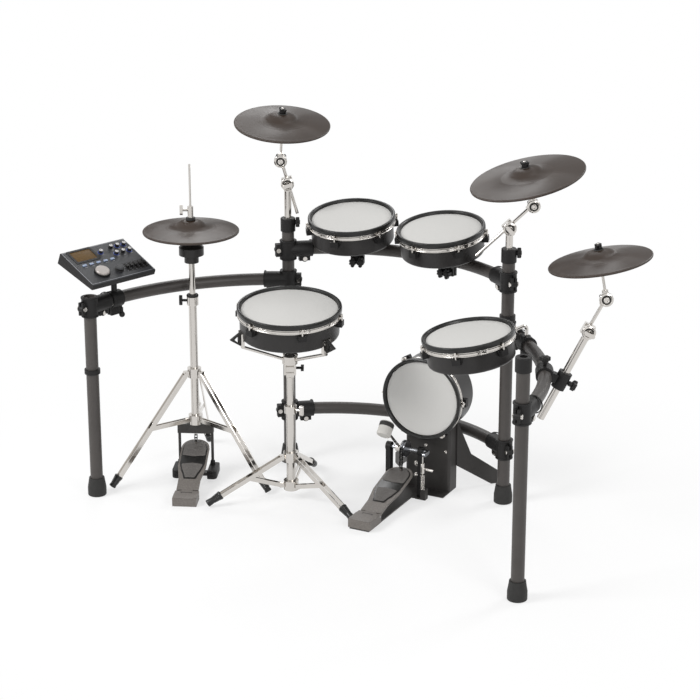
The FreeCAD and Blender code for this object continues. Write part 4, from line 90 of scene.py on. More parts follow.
# camera at the photograph's place
photoView = {"focalPixels": 2170, "framePixels": 700, "pitch": 19, "heading": 27,
             "place": (2734.75, -5671.34, 2600)}
camera = bpy.data.cameras.new("photoCamera")
camera.sensor_width = 36
camera.lens = 36 * photoView["focalPixels"] / photoView["framePixels"]
camera.clip_end = 60
cameraObject = bpy.data.objects.new("photoCamera", camera)
cameraObject.matrix_world = (kitSpot(*photoView["place"]) @ turn("Z", photoView["heading"]) @
                             turn("X", 90 - photoView["pitch"]))
bpy.context.scene.collection.objects.link(cameraObject)
bpy.context.scene.camera = cameraObject
bpy.context.scene.view_settings.view_transform = "Standard"


def shownRays(tree):
    # one where the background itself is looked at, straight or in a reflection
    rays = addNode(tree, "ShaderNodeLightPath")
    mirrored = addNode(tree, "ShaderNodeMath", links={0: rays.outputs["Is Glossy Ray"],
                                                      1: rays.outputs["Is Transmission Ray"]}, operation="MAXIMUM")
    return addNode(tree, "ShaderNodeMath", links={0: rays.outputs["Is Camera Ray"], 1: mirrored.outputs[0]},
                   operation="MAXIMUM").outputs[0]


world = bpy.data.worlds.new("studio")
bpy.context.scene.world = world
world.use_nodes = True
sky = world.node_tree
sky.nodes.clear()
shown = addNode(sky, "ShaderNodeBackground", {"Color": (1, 1, 1, 1), "Strength": 1.0})
fill = addNode(sky, "ShaderNodeBackground", {"Color": (1, 1, 1, 1), "Strength": 0.43})
mixed = addNode(sky, "ShaderNodeMixShader", links={0: shownRays(sky), 1: fill.outputs[0], 2: shown.outputs[0]})
addNode(sky, "ShaderNodeOutputWorld", links={"Surface": mixed.outputs[0]})

lamps = [("keyLamp", (-2.2, -2.8, 2.8), 1.6, 118), ("fillLamp", (3.4, -2.2, 2.2), 1.6, 44),
         ("backRightLamp", (1.8, 2.6, 2.6), 1.1, 38), ("backLeftLamp", (-2.2, 2.6, 3.0), 1.2, 20)]
for name, place, size, power in lamps:
    lamp = bpy.data.lights.new(name, "AREA")
    lamp.size = size
    lamp.energy = power
    lampObject = bpy.data.objects.new(name, lamp)
    lampObject.location = place
    lampObject.rotation_euler = (Vector((0, 0, 0.5)) - Vector(place)).to_track_quat("-Z", "Y").to_euler()
    bpy.context.scene.collection.objects.link(lampObject)

# dark cards round the set, seen by polished surfaces alone: they draw the dark lines in the chrome
cards = {"headings": (-30, 22, 78, 140, 196, 262), "away": 4.2, "width": 0.8, "height": 3.2}
cardPaint = bpy.data.materials.new("blackCard")
cardPaint.use_nodes = True
cardPaint.node_tree.nodes["Principled BSDF"].inputs["Base Color"].default_value = linear("#141414")
cardPaint.node_tree.nodes["Principled BSDF"].inputs["Specular IOR Level"].default_value = 0.0
for heading in cards["headings"]:
    half, high = cards["width"] / 2, cards["height"]
    cardMesh = bpy.data.meshes.new("card")
    cardMesh.from_pydata([(0, -half, 0), (0, half, 0), (0, half, high), (0, -half, high)], [], [(0, 1, 2, 3)])
    cardMesh.materials.append(cardPaint)
    card = bpy.data.objects.new("card", cardMesh)
    card.matrix_world = turn("Z", heading) @ shift(cards["away"] * 1000)
    for ray in ("camera", "diffuse", "shadow", "transmission", "volume_scatter"):
        setattr(card, "visible_" + ray, False)
    bpy.context.scene.collection.objects.link(card)

floorMesh = bpy.data.meshes.new("floor")
floorMesh.from_pydata([(-15, -15, -0.001), (15, -15, -0.001), (15, 15, -0.001), (-15, 15, -0.001)], [],
                      [(0, 1, 2, 3)])
floor = bpy.data.objects.new("floor", floorMesh)
bpy.context.scene.collection.objects.link(floor)
floorPaint = bpy.data.materials.new("studioFloorPaper")
floorPaint.use_nodes = True
tree = floorPaint.node_tree
paper = tree.nodes["Principled BSDF"]
paper.inputs["Base Color"].default_value = linear("#fbfbfb")
paper.inputs["Roughness"].default_value = 0.9
away = addNode(tree, "ShaderNodeVectorMath", links={0: addNode(tree, "ShaderNodeTexCoord").outputs["Object"]},
               operation="LENGTH")
beyond = addNode(tree, "ShaderNodeMapRange", {"From Min": 0.5, "From Max": 1.5, "To Min": 0.6},
                 {"Value": away.outputs["Value"]}, interpolation_type="SMOOTHSTEP")
plain = addNode(tree, "ShaderNodeMath", links={0: beyond.outputs[0], 1: shownRays(tree)}, operation="MULTIPLY")
glow = addNode(tree, "ShaderNodeEmission", {"Color": (1, 1, 1, 1), "Strength": 1.0})
addNode(tree, "ShaderNodeMixShader", links={0: plain.outputs[0], 1: paper.outputs[0], 2: glow.outputs[0]},
        feeds={0: tree.nodes["Material Output"].inputs["Surface"]})
floorMesh.materials.append(floorPaint)
print("camera, lamps and floor set")

finishes = {}


def perMetre(millimetres):
    return 1000 / millimetres  # texture scale that gives one cell of this size


def wavePerMetre(millimetres):
    return math.pi * 100 / millimetres  # wave texture scale that gives one crest in this length


def newFinish(key, name, hexColour, roughness, metallic=0.0, ior=1.5, gloss=0.5, patterns=None, tones=None,
              spread=None, relief=None):
    # patterns: fields by name, each with its kind, its cell in millimetres and a noise's detail; tones, spread and
    # relief name the field that drives the colour, the roughness and the bump (strength, depth in millimetres)
    material = bpy.data.materials.new(name)
    material.use_nodes = True
    tree = material.node_tree
    shader = tree.nodes["Principled BSDF"].inputs
    shader["Base Color"].default_value = linear(hexColour)
    shader["Roughness"].default_value = roughness
    shader["Metallic"].default_value = metallic
    shader["Specular IOR Level"].default_value = gloss
    if not metallic:
        shader["IOR"].default_value = ior
    finishes[key] = material
    coords = addNode(tree, "ShaderNodeTexCoord").outputs["Object"]
    fields = {}
    for label, (kind, cell, *detail) in (patterns or {}).items():
        values = {"Scale": perMetre(cell)} | ({"Detail": detail[0]} if detail else {})
        field = addNode(tree, "ShaderNodeTex" + kind, values, {"Vector": coords})
        fields[label] = field.outputs["Fac" if kind == "Noise" else "Distance"]
    if tones:
        addNode(tree, "ShaderNodeMix", {6: linear(tones[1]), 7: linear(tones[2])}, {0: fields[tones[0]]},
                {2: shader["Base Color"]}, data_type="RGBA")
    if spread:
        addNode(tree, "ShaderNodeMapRange", {"To Min": spread[1], "To Max": spread[2]},
                {"Value": fields[spread[0]]}, {0: shader["Roughness"]})
    if relief:
        addNode(tree, "ShaderNodeBump", {"Strength": relief[1], "Distance": relief[2] / 1000},
                {"Height": fields[relief[0]]}, {0: shader["Normal"]})
    return tree, shader, coords


# satin polyester paint on steel tube, sprayed and baked: warm dark grey, a slight orange peel
newFinish("tube", "satinPaintWarmGrey", "#3f3b39", 0.42,
          patterns={"peel": ("Noise", 5, 2), "cloud": ("Noise", 70, 3)},
          tones=("cloud", "#383432", "#474340"), spread=("peel", 0.36, 0.5), relief=("peel", 0.12, 0.4))

# textured powder coat on pressed steel: charcoal, gritty; the grain holds back part of the gloss
newFinish("coat", "texturedPowderCoat", "#343231", 0.5, gloss=0.4,
          patterns={"grit": ("Noise", 2.2, 3), "cloud": ("Noise", 50, 3)},
          tones=("cloud", "#2d2b2a", "#3d3b39"), spread=("grit", 0.4, 0.6), relief=("grit", 0.25, 0.4))

# glass-filled nylon, injection moulded: near black, spark-eroded grain that holds back part of the gloss
newFinish("nylon", "mouldedNylonBlack", "#1c1b1b", 0.5, ior=1.53, gloss=0.28,
          patterns={"grain": ("Voronoi", 1.8), "flow": ("Noise", 35, 3)},
          tones=("flow", "#111010", "#1d1c1c"), spread=("flow", 0.4, 0.58), relief=("grain", 0.2, 0.2))

# ABS drum shell, moulded, satin: dark grey
newFinish("shell", "mouldedAbsDarkGrey", "#201f1e", 0.36, ior=1.54, gloss=0.35,
          patterns={"flow": ("Noise", 40, 3), "grain": ("Noise", 1.5, 1)},
          tones=("flow", "#1b1919", "#262423"), spread=("flow", 0.28, 0.44), relief=("grain", 0.08, 0.2))

# decorative chrome plate on steel: bright, with faint handling haze
newFinish("chrome", "chromePlate", "#cdc9c4", 0.1, 1.0, patterns={"haze": ("Noise", 20, 4)},
          spread=("haze", 0.04, 0.15))

# bright zinc plate on bolts, pins and the axle: duller and a little blue
newFinish("zinc", "zincPlate", "#a9abaf", 0.3, 1.0, patterns={"haze": ("Noise", 6, 4)},
          tones=("haze", "#9a9ca1", "#b6b8bb"), spread=("haze", 0.2, 0.42))

# black oxide on chain steel: dark, oily
newFinish("oxide", "blackOxideSteel", "#3a3938", 0.36, 1.0, patterns={"film": ("Noise", 4, 3)},
          spread=("film", 0.26, 0.5))

# butyl rubber, moulded: matt black with a dusty bloom
newFinish("rubber", "mouldedRubberBlack", "#222221", 0.6, ior=1.52, gloss=0.3, patterns={"dust": ("Noise", 14, 5)},
          tones=("dust", "#222221", "#333231"), spread=("dust", 0.5, 0.68))

# rim rubber, wiped to a soft gloss
newFinish("rimRubber", "wipedRubberBlack", "#151514", 0.3, ior=1.52, gloss=0.42,
          patterns={"wipe": ("Noise", 25, 3)}, spread=("wipe", 0.22, 0.38))

# thermoplastic rubber cymbal skin: charcoal brown, moulded with fine lathe lines round the axis, so that the
# gloss spreads in rays from the bell; the lines lie about 0.5 mm apart in life and are drawn 2.5 mm apart
tree, shader, coords = newFinish("cymbal", "latheLinedRubberCharcoal", "#30251c", 0.42, ior=1.52,
                                 patterns={"cloud": ("Noise", 60, 3)}, tones=("cloud", "#2a1f17", "#372a21"),
                                 spread=("cloud", 0.38, 0.46))
line = addNode(tree, "ShaderNodeTexWave", {"Scale": wavePerMetre(2.5), "Distortion": 0.3, "Detail": 1},
               {"Vector": coords}, wave_type="RINGS", rings_direction="Z")
addNode(tree, "ShaderNodeBump", {"Strength": 0.06, "Distance": 0.0003}, {"Height": line.outputs["Fac"]},
        {0: shader["Normal"]})
shader["Anisotropic"].default_value = 0.9
addNode(tree, "ShaderNodeTangent", feeds={0: shader["Tangent"]}, direction_type="RADIAL", axis="Z")

# two-ply woven polyester head: pale grey threads 0.4 mm apart in life, drawn 2.2 mm apart so that they show
tree, shader, coords = newFinish("mesh", "wovenPolyesterPaleGrey", "#cfcecb", 0.75, ior=1.55, gloss=0.3)
warp, weft = (addNode(tree, "ShaderNodeTexWave", {"Scale": wavePerMetre(2.2)}, {"Vector": coords},
                      bands_direction=axis).outputs["Fac"] for axis in "XY")
weave = addNode(tree, "ShaderNodeMath", links={0: warp, 1: weft}, operation="MAXIMUM")
addNode(tree, "ShaderNodeMix", {6: linear("#c2c1be"), 7: linear("#d6d5d2")}, {0: weave.outputs[0]},
        {2: shader["Base Color"]}, data_type="RGBA")
addNode(tree, "ShaderNodeBump", {"Strength": 0.2, "Distance": 0.0003}, {"Height": weave.outputs[0]},
        {0: shader["Normal"]})
shader["Sheen Weight"].default_value = 0.1

# hard felt and nylon beater head: off-white, slightly fibrous
newFinish("felt", "pressedFeltOffWhite", "#c9c7c2", 0.85, gloss=0.3, patterns={"fibre": ("Noise", 2, 5)},
          tones=("fibre", "#b9b6b0", "#d5d3cf"), relief=("fibre", 0.4, 0.5))

# grip panels of the footboards: grey rubber with a fine diamond grain
newFinish("grip", "ribbedRubberGrey", "#605d5a", 0.6, ior=1.52, gloss=0.35, patterns={"weave": ("Voronoi", 3)},
          tones=("weave", "#53504e", "#6c6966"), relief=("weave", 0.5, 0.5))

# footboards and heel plates: cast aluminium under a hammered grey-brown paint, its dimples 4 mm apart
newFinish("board", "hammeredPaintGreyBrown", "#66615d", 0.45, gloss=0.4, patterns={"dimple": ("Voronoi", 4)},
          tones=("dimple", "#625d59", "#77726d"), relief=("dimple", 0.3, 0.4))

# sound module case: moulded ABS with a fine spark grain, charcoal
newFinish("case", "grainedAbsCharcoal", "#2c2d2f", 0.46, ior=1.54, gloss=0.4,
          patterns={"grain": ("Voronoi", 1.4), "cloud": ("Noise", 60, 2)},
          tones=("cloud", "#28292b", "#333437"), relief=("grain", 0.25, 0.2))

# painted silver dial: a fine uneven sparkle in the paint
newFinish("silver", "silverPaintOnAbs", "#aaa4a0", 0.35, 0.4, patterns={"sparkle": ("Noise", 1.5, 3)},
          spread=("sparkle", 0.26, 0.46))

# backlit keys: milky polycarbonate, faintly blue
tree, shader, coords = newFinish("key", "milkyPolycarbonate", "#8f9cb6", 0.4, ior=1.58,
                                 patterns={"milk": ("Noise", 6, 2)}, tones=("milk", "#8290ab", "#9ba8c1"))
shader["Subsurface Weight"].default_value = 0.1

# screen: amber liquid crystal film with its dot rows, 1.2 mm apart, under a matt window
tree, shader, coords = newFinish("screen", "amberDotScreen", "#7a5a2c", 0.55, ior=1.49, gloss=0.2)
addNode(tree, "ShaderNodeTexBrick", {"Color1": linear("#745934"), "Color2": linear("#674f30"),
                                     "Mortar": linear("#53432b"), "Scale": 1.0, "Mortar Size": 0.0002,
                                     "Brick Width": 0.0012, "Row Height": 0.0012}, {"Vector": coords},
        {"Color": shader["Base Color"]}, offset=0.0)

# printed lines and rings on the module, silkscreen ink in pale grey and blue, and the white caps of its knobs; the
# pale grey also draws a painted highlight along the edge of the face
newFinish("ink", "silkscreenPaleGreyAndEdgeHighlight", "#9b9da2", 0.5, patterns={"wear": ("Noise", 3, 3)},
          tones=("wear", "#8b8d92", "#a8aaae"))
newFinish("blue", "silkscreenBlue", "#3c4f9d", 0.45, patterns={"wear": ("Noise", 3, 3)},
          tones=("wear", "#34468f", "#4458aa"))
newFinish("white", "mouldedAbsWhite", "#c9c7c6", 0.4, ior=1.54, patterns={"wear": ("Noise", 4, 2)},
          spread=("wear", 0.32, 0.5))
print("materials made:", len(finishes))


def solidFaces(mesh):
    # the faces of each closed solid of a node, in the node's own order
    spots, parents, spotOf = {}, [], []

    def root(item):
        while parents[item] != item:
            parents[item] = parents[parents[item]]
            item = parents[item]
        return item

    for vertex in mesh.vertices:
        key = tuple(round(value * 1e6) for value in vertex.co)
        if key not in spots:
            spots[key] = len(parents)
            parents.append(len(parents))
        spotOf.append(spots[key])
    for polygon in mesh.polygons:
        first = root(spotOf[polygon.vertices[0]])
        for vertex in polygon.vertices[1:]:
            parents[root(spotOf[vertex])] = first
    groups = {}
    for polygon in mesh.polygons:
        groups.setdefault(root(spotOf[polygon.vertices[0]]), []).append(polygon.index)
    return list(groups.values())


def solidPoints(name):
    # the points of each solid of a node, where they stand in the frame
    node = nodes[name]
    return [[node.matrix_world @ node.data.vertices[index].co for index in
             sorted({index for face in faces for index in node.data.polygons[face].vertices})]
            for faces in solidFaces(node.data)]


def middle(points):
    return sum(points, Vector()) / len(points)


def facing(place, direction, across=None):
    # a place whose Z points along a direction, with its X near another
    side = across.cross(direction).normalized() if across else direction.orthogonal().normalized()
    turned = Matrix((side.cross(direction), side, direction)).transposed().to_4x4()
    return Matrix.Translation(place) @ turned


hihatFoot, snareFoot = (-578, -234), (-220, -269)
padNames = ["tom1", "tom2", "tom3", "snare", "kick"]
armNames = ["left", "ride", "crash"]
nodeFinish = {
    "tube": ["rack_uprights", "rack_bars"],
    "coat": ["kick_tower", "kick_tower_legs", "kick_pedal_base", "hihat_pedal_base"],
    "board": ["kick_footboard", "hihat_footboard"],
    "nylon": ["rack_clamps", "rack_collars", "arm_clamps", "module_knobs", "module_faders"],
    "shell": ["hihat_controller"] + [f"{pad}_shell" for pad in padNames],
    "chrome": ["hihat_tube", "hihat_legs", "hihat_rod", "hihat_clutch", "snare_column", "snare_legs",
               "snare_basket", "kick_spring", "rack_bolts", "kick_beater"] +
              [f"{arm}_{piece}" for arm in armNames for piece in ("mast", "boom", "post")],
    "zinc": ["kick_axle"],
    "oxide": ["kick_chain", "hihat_chain"],
    "rubber": ["rack_feet", "stand_feet"] + [f"{pad}_hoop" for pad in padNames],
    "cymbal": [f"{cymbal}_cymbal" for cymbal in armNames + ["hihat"]],
    "mesh": [f"{pad}_head" for pad in padNames],
    "case": ["module_case"],
    "silver": ["module_dial"],
    "key": ["module_buttons"]}
# solids of another finish in a node, by their order in it
solidFinish = {
    "kick_beater": {0: "chrome", 1: "felt"},
    "snare_basket": {2: "nylon", 9: "rubber", 10: "rubber", 11: "rubber"},
    "arm_clamps": {3: "chrome"},
    "hihat_tube": {3: "nylon"},
    "kick_pedal_base": {1: "board", 2: "zinc", 3: "nylon", 4: "nylon"},
    "hihat_pedal_base": {3: "board", 4: "zinc"}}
for arm in armNames:
    solidFinish[f"{arm}_post"] = {3: "rubber", 4: "nylon", 6: "nylon"}
for pad in padNames:
    solidFinish[f"{pad}_shell"] = {number: "nylon" for number in range(3, 9)}
for finish, names in nodeFinish.items():
    for name in names:
        mesh = nodes[name].data
        mesh.materials.clear()
        mesh.materials.append(finishes[finish])
        mesh.set_sharp_from_angle(angle=math.radians(32))
        for polygon in mesh.polygons:
            polygon.use_smooth = True
        if name in solidFinish:
            kinds = sorted(set(solidFinish[name].values()))
            for kind in kinds:
                mesh.materials.append(finishes[kind])
            for number, faces in enumerate(solidFaces(mesh)):
                if number in solidFinish[name]:
                    for face in faces:
                        mesh.polygons[face].material_index = 1 + kinds.index(solidFinish[name][number])
print("frame nodes finished")


# outlines of the mesh tools are millimetres
def softCorners(points, steps):
    # a third value of a point is the radius of its corner
    outline = []
    for index, point in enumerate(points):
        corner = Vector(point[:2])
        if len(point) < 3:
            outline.append(corner)
            continue
        before = Vector(points[index - 1][:2]) - corner
        after = Vector(points[(index + 1) % len(points)][:2]) - corner
        half = before.angle(after) / 2
        reach = min(point[2] / math.tan(half), before.length * 0.49, after.length * 0.49)
        radius = reach * math.tan(half)
        centre = corner + (before.normalized() + after.normalized()).normalized() * (radius / math.sin(half))
        first = corner + before.normalized() * reach - centre
        last = corner + after.normalized() * reach - centre
        start = math.atan2(first.y, first.x)
        sweep = (math.atan2(last.y, last.x) - start + math.pi) % (2 * math.pi) - math.pi
        for step in range(steps + 1):
            angle = start + sweep * step / steps
            outline.append(centre + Vector((math.cos(angle), math.sin(angle))) * radius)
    return outline


def arcRun(start, stop, radius, steps):
    start, stop = Vector(start), Vector(stop)
    chord = stop - start
    side = Vector((-chord.y, chord.x)).normalized()
    centre = (start + stop) / 2 + side * math.copysign(math.sqrt(radius ** 2 - chord.length_squared / 4), radius)
    first = math.atan2(start.y - centre.y, start.x - centre.x)
    sweep = (math.atan2(stop.y - centre.y, stop.x - centre.x) - first + math.pi) % (2 * math.pi) - math.pi
    return [centre + Vector((math.cos(first + sweep * step / steps), math.sin(first + sweep * step / steps))) *
            abs(radius) for step in range(steps + 1)]


def finishMesh(name, bm, smoothAngle=32):
    bmesh.ops.remove_doubles(bm, verts=bm.verts, dist=1e-6)
    bmesh.ops.recalc_face_normals(bm, faces=bm.faces)
    mesh = bpy.data.meshes.new(name)
    bm.to_mesh(mesh)
    bm.free()
    mesh.set_sharp_from_angle(angle=math.radians(smoothAngle))
    for polygon in mesh.polygons:
        polygon.use_smooth = True
    return mesh


def lathe(name, points, steps=96, closed=True, rounding=3):
    bm = bmesh.new()
    rings = []
    for radius, height in softCorners(points, rounding):
        if radius < 1e-6:
            rings.append([bm.verts.new((0, 0, height / 1000))])
            continue
        rings.append([bm.verts.new((radius / 1000 * math.cos(2 * math.pi * step / steps),
                                    radius / 1000 * math.sin(2 * math.pi * step / steps), height / 1000))
                      for step in range(steps)])
    pairs = list(zip(rings, rings[1:] + rings[:1])) if closed else list(zip(rings, rings[1:]))
    for lower, upper in pairs:
        if len(lower) == 1 and len(upper) == 1:
            continue
        for step in range(steps):
            after = (step + 1) % steps
            corners = [lower[step % len(lower)], lower[after % len(lower)], upper[after % len(upper)],
                       upper[step % len(upper)]]
            bm.faces.new(list(dict.fromkeys(corners)))
    return finishMesh(name, bm)


def slab(name, points, low, high, bevel=0.0, segments=2, rounding=3):
    # an outline in X and Y, raised from low to high, with its edges rounded
    bm = bmesh.new()
    base = bm.faces.new([bm.verts.new((x / 1000, y / 1000, low / 1000)) for x, y in softCorners(points, rounding)])
    raised = bmesh.ops.extrude_face_region(bm, geom=[base])["geom"]
    bmesh.ops.translate(bm, verts=[item for item in raised if isinstance(item, bmesh.types.BMVert)],
                        vec=(0, 0, (high - low) / 1000))
    bmesh.ops.recalc_face_normals(bm, faces=bm.faces)
    if bevel:
        sharp = [edge for edge in bm.edges if edge.calc_face_angle(0) > math.radians(40)]
        bmesh.ops.bevel(bm, geom=sharp, offset=bevel / 1000, segments=segments, affect="EDGES", profile=0.6)
    return finishMesh(name, bm)


def block(name, length, width, low, high, bevel):
    x, y = length / 2, width / 2
    return slab(name, [(-x, -y), (x, -y), (x, y), (-x, y)], low, high, bevel)


def gathered(name, parts):
    # several meshes, each at its own place, in one mesh
    bm = bmesh.new()
    for mesh, place in parts:
        copy = mesh.copy()
        copy.transform(place)
        bm.from_mesh(copy)
        bpy.data.meshes.remove(copy)
    mesh = bpy.data.meshes.new(name)
    bm.to_mesh(mesh)
    bm.free()
    mesh.set_sharp_from_angle(angle=math.radians(32))
    return mesh


def addPiece(name, shape, finish, place, body, slot, *replaced):
    # the shape is a mesh, or a list of meshes with their places
    mesh = gathered(name, shape) if isinstance(shape, list) else shape
    mesh.materials.clear()
    mesh.materials.append(finishes[finish])
    piece = bpy.data.objects.new(name, mesh)
    piece.matrix_world = place
    bpy.context.scene.collection.objects.link(piece)
    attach(piece, body)
    if replaced:
        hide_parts(*replaced)
    return piece


rodAxis = jointAxis["tom3_tilt"]
rodHeading = math.degrees(math.atan2(rodAxis.y, rodAxis.x))
pads = {
    "tom1": {"place": leaning(-182, 64, 815, -86, 8.5), "radius": 135, "body": "tom1", "firstLug": 0},
    "tom2": {"place": leaning(119, 66, 815, -104, 8.5), "radius": 135, "body": "tom2", "firstLug": 0},
    "tom3": {"place": kitSpot(379, -307, 631) @ turn("Z", rodHeading - 90) @ turn("X", -6.4) @ turn("Y", 6),
             "radius": 135, "body": "tom3", "firstLug": 0},
    "snare": {"place": leaning(*snareFoot, 424, -63, 5.2) @ shift(z=195), "radius": 157, "body": "snare",
              "firstLug": 15},
    "kick": {"place": kitSpot(121, -62, 313) @ turn("X", 90), "radius": 129, "body": "rack", "firstLug": 0}}
padShape = {"rimWidth": 11, "rimTop": 9, "rimSeat": -7, "neckInset": 13, "bandInset": 2.5, "bandWall": 3,
            "bandFoot": -20, "lugCount": 6, "screwReach": 4, "hookReach": 7, "hookHalf": 8.6, "sag": 1.2,
            "skirt": 6.5}
outwards = Matrix(((0, 0, 1, 0), (1, 0, 0, 0), (0, 1, 0, 0), (0, 0, 0, 1)))  # a slab's thickness along X, its Y up


def padPieces(label, pad):
    radius, place, body = pad["radius"], pad["place"], pad["body"]
    inner = radius - padShape["rimWidth"]
    neck = radius - padShape["neckInset"]
    band = radius - padShape["bandInset"]
    seat, foot, wall, top = padShape["rimSeat"], padShape["bandFoot"], padShape["bandWall"], padShape["rimTop"]
    spokes = [turn("Z", pad["firstLug"] + 360 / padShape["lugCount"] * number)
              for number in range(padShape["lugCount"])]
    # rubber rim: a lip rounded on top with a chamfer inside; a dark ring of rim rubber in the groove of the hoop
    # below is painted shade
    rim = lathe("rim", [
        (inner + 1, seat, 0.6), (radius - 0.4, seat, 1.4), (radius + 0.2, 2, 2), (radius - 0.6, top - 1.5, 1.6),
        (radius - 3, top, 1.6), (inner + 4.4, top - 0.3, 1.2), (inner + 1.6, top - 3, 1),
        (inner, 0.6, 0.8)], rounding=5)
    # painted shade: a dark ring of rim rubber filling the hoop's groove, where the recess lies in shadow
    grooveShade = lathe("grooveShade", [(band - 1.5, seat - 4.2), (band - 0.5, seat - 4.2), (band - 0.5, seat - 2.6),
                          (band - 1.5, seat - 2.6)])
    addPiece(label + "Rim", [(rim, Matrix()), (grooveShade, Matrix())], "rimRubber", place, body, "rubber",
             label + "_hoop")
    # chrome hoop: a thin flange under the rim, a groove and a flat band with a rolled foot
    hoop = lathe(label + "Hoop", [
        (inner + 1, seat - 0.1), (inner + 1, seat - 2), (band - wall, seat - 2), (band - wall, foot),
        (band + 1.6, foot, 0.8), (band + 1.6, foot + 2.2, 0.8), (band, foot + 3.2, 0.6), (band, seat - 4.4, 0.5),
        (band - 1.6, seat - 4.3), (band - 1.6, seat - 2.5), (band + 0.9, seat - 2.4, 0.5),
        (band + 0.9, seat - 0.1, 0.5)])
    addPiece(label + "Hoop", hoop, "chrome", place, body, "chrome")
    # tension screws: a claw over the flange with a raised fork, a shank and a square key head on a washer
    reach, half = radius + padShape["hookReach"], padShape["hookHalf"]
    claw = slab("claw", [(band + 0.2, -half, 1), (reach - 1.5, -half, 2), (reach, -half / 2, 1.5),
                         (reach, half / 2, 1.5), (reach - 1.5, half, 2), (band + 0.2, half, 1)],
                -14, -8.4, 0.8)
    fork = slab("fork", [(band + 0.4, -3.4, 1), (reach + 0.4, -3.4, 2.4), (reach + 0.4, 3.4, 2.4),
                         (band + 0.4, 3.4, 1)], -16, -8.5, 0.7)
    shank = lathe("shank", [(0, -36), (3, -36), (3, -6), (0, -6)], 20)
    washer = lathe("washer", [(0, -8.5), (3.8, -8.5, 0.4), (3.8, -7, 0.4), (0, -7)], 20, rounding=2)
    keyHead = block("keyHead", 5.6, 5.6, -7, -1.6, 0.7)
    screwParts = []
    for spoke in spokes:
        screwParts += [(claw, spoke), (fork, spoke)]
        screwParts += [(mesh, spoke @ shift(radius + padShape["screwReach"])) for mesh in (shank, washer, keyHead)]
    addPiece(label + "Screws", screwParts, "chrome", place, body, "chrome")
    # lugs: a wide black bracket under the hoop that runs down into a rounded block on the shell
    bracket = slab("bracket", [(-19, -21.5, 1.5), (-17, -27, 4), (-13.2, -31, 3), (-13, -41, 4),
                               (13, -41, 4), (13.2, -31, 3), (17, -27, 4), (19, -21.5, 1.5)],
                   radius - 10, radius + 0.4, 1.4, 3, rounding=4)
    addPiece(label + "Lugs", [(bracket, spoke @ outwards) for spoke in spokes], "nylon", place, body,
             "shell_plastic")
    # mesh head: stretched over the bearing edge, pressed down a little by the trigger below it
    skirt = padShape["skirt"]
    headOutline = [(0, -padShape["sag"])]
    headOutline += [(neck * share, -padShape["sag"] * (1 - share ** 2)) for share in (0.25, 0.5, 0.75, 0.93)]
    headOutline += softCorners([(neck * 0.95, -0.1), (neck + 1, 0, 1.2), (neck + 1.1, -skirt)], 4)[1:]
    head = addPiece(label + "Head", lathe(label + "Head", headOutline, closed=False), "mesh", place, body, "mesh",
                    label + "_head")


for label, pad in pads.items():
    padPieces(label, pad)
print("pads built:", len(pads))

cymbals = {"left": {"heading": -44, "lean": 9.6, "radius": 147},
           "ride": {"heading": -133, "lean": 13.9, "radius": 172},
           "crash": {"heading": -166, "lean": 10.5, "radius": 147}, "hihat": {"radius": 147}}
cymbalShape = {"bellRadius": 40, "bowRise": 20, "bellTop": 35, "hole": 6.5, "thick": 5, "bellUnder": 30}


def cymbalMesh(label, radius):
    bell, bow, top = cymbalShape["bellRadius"], cymbalShape["bowRise"], cymbalShape["bellTop"]
    hole, thick = cymbalShape["hole"], cymbalShape["thick"]
    # a thick rolled edge, the bow, a hollow flare up to the bell and the bell itself
    edge = softCorners([(radius - 10, 0.4), (radius - 8, -2.2, 1.2), (radius - 1, -2.4, 1.8), (radius, 2.4, 2),
                        (radius - 2.4, 5, 2), (radius - 9, 5.6)], 4)[1:]
    flareFoot, flareHead = (bell + 36, bow - 7), (bell + 8, bow + 0.2)
    bowLine = arcRun((radius - 13, 6.3), flareFoot, 620, 24)
    flare = arcRun((flareFoot[0] - 1, flareFoot[1] + 0.25), flareHead, -70, 8)
    dome = arcRun((bell + 6.8, bow + 1), (hole, top), 46, 12)
    under = arcRun((hole, top - thick), (bell - thick / 2, bow - thick), -50, 8)
    underBow = arcRun((bell - thick / 2 + 1, bow - thick - 0.3), (radius - 11, 0.5), -900, 16)
    outline = edge + bowLine + flare + dome + under + underBow
    return lathe(label + "Cymbal", outline, 128)


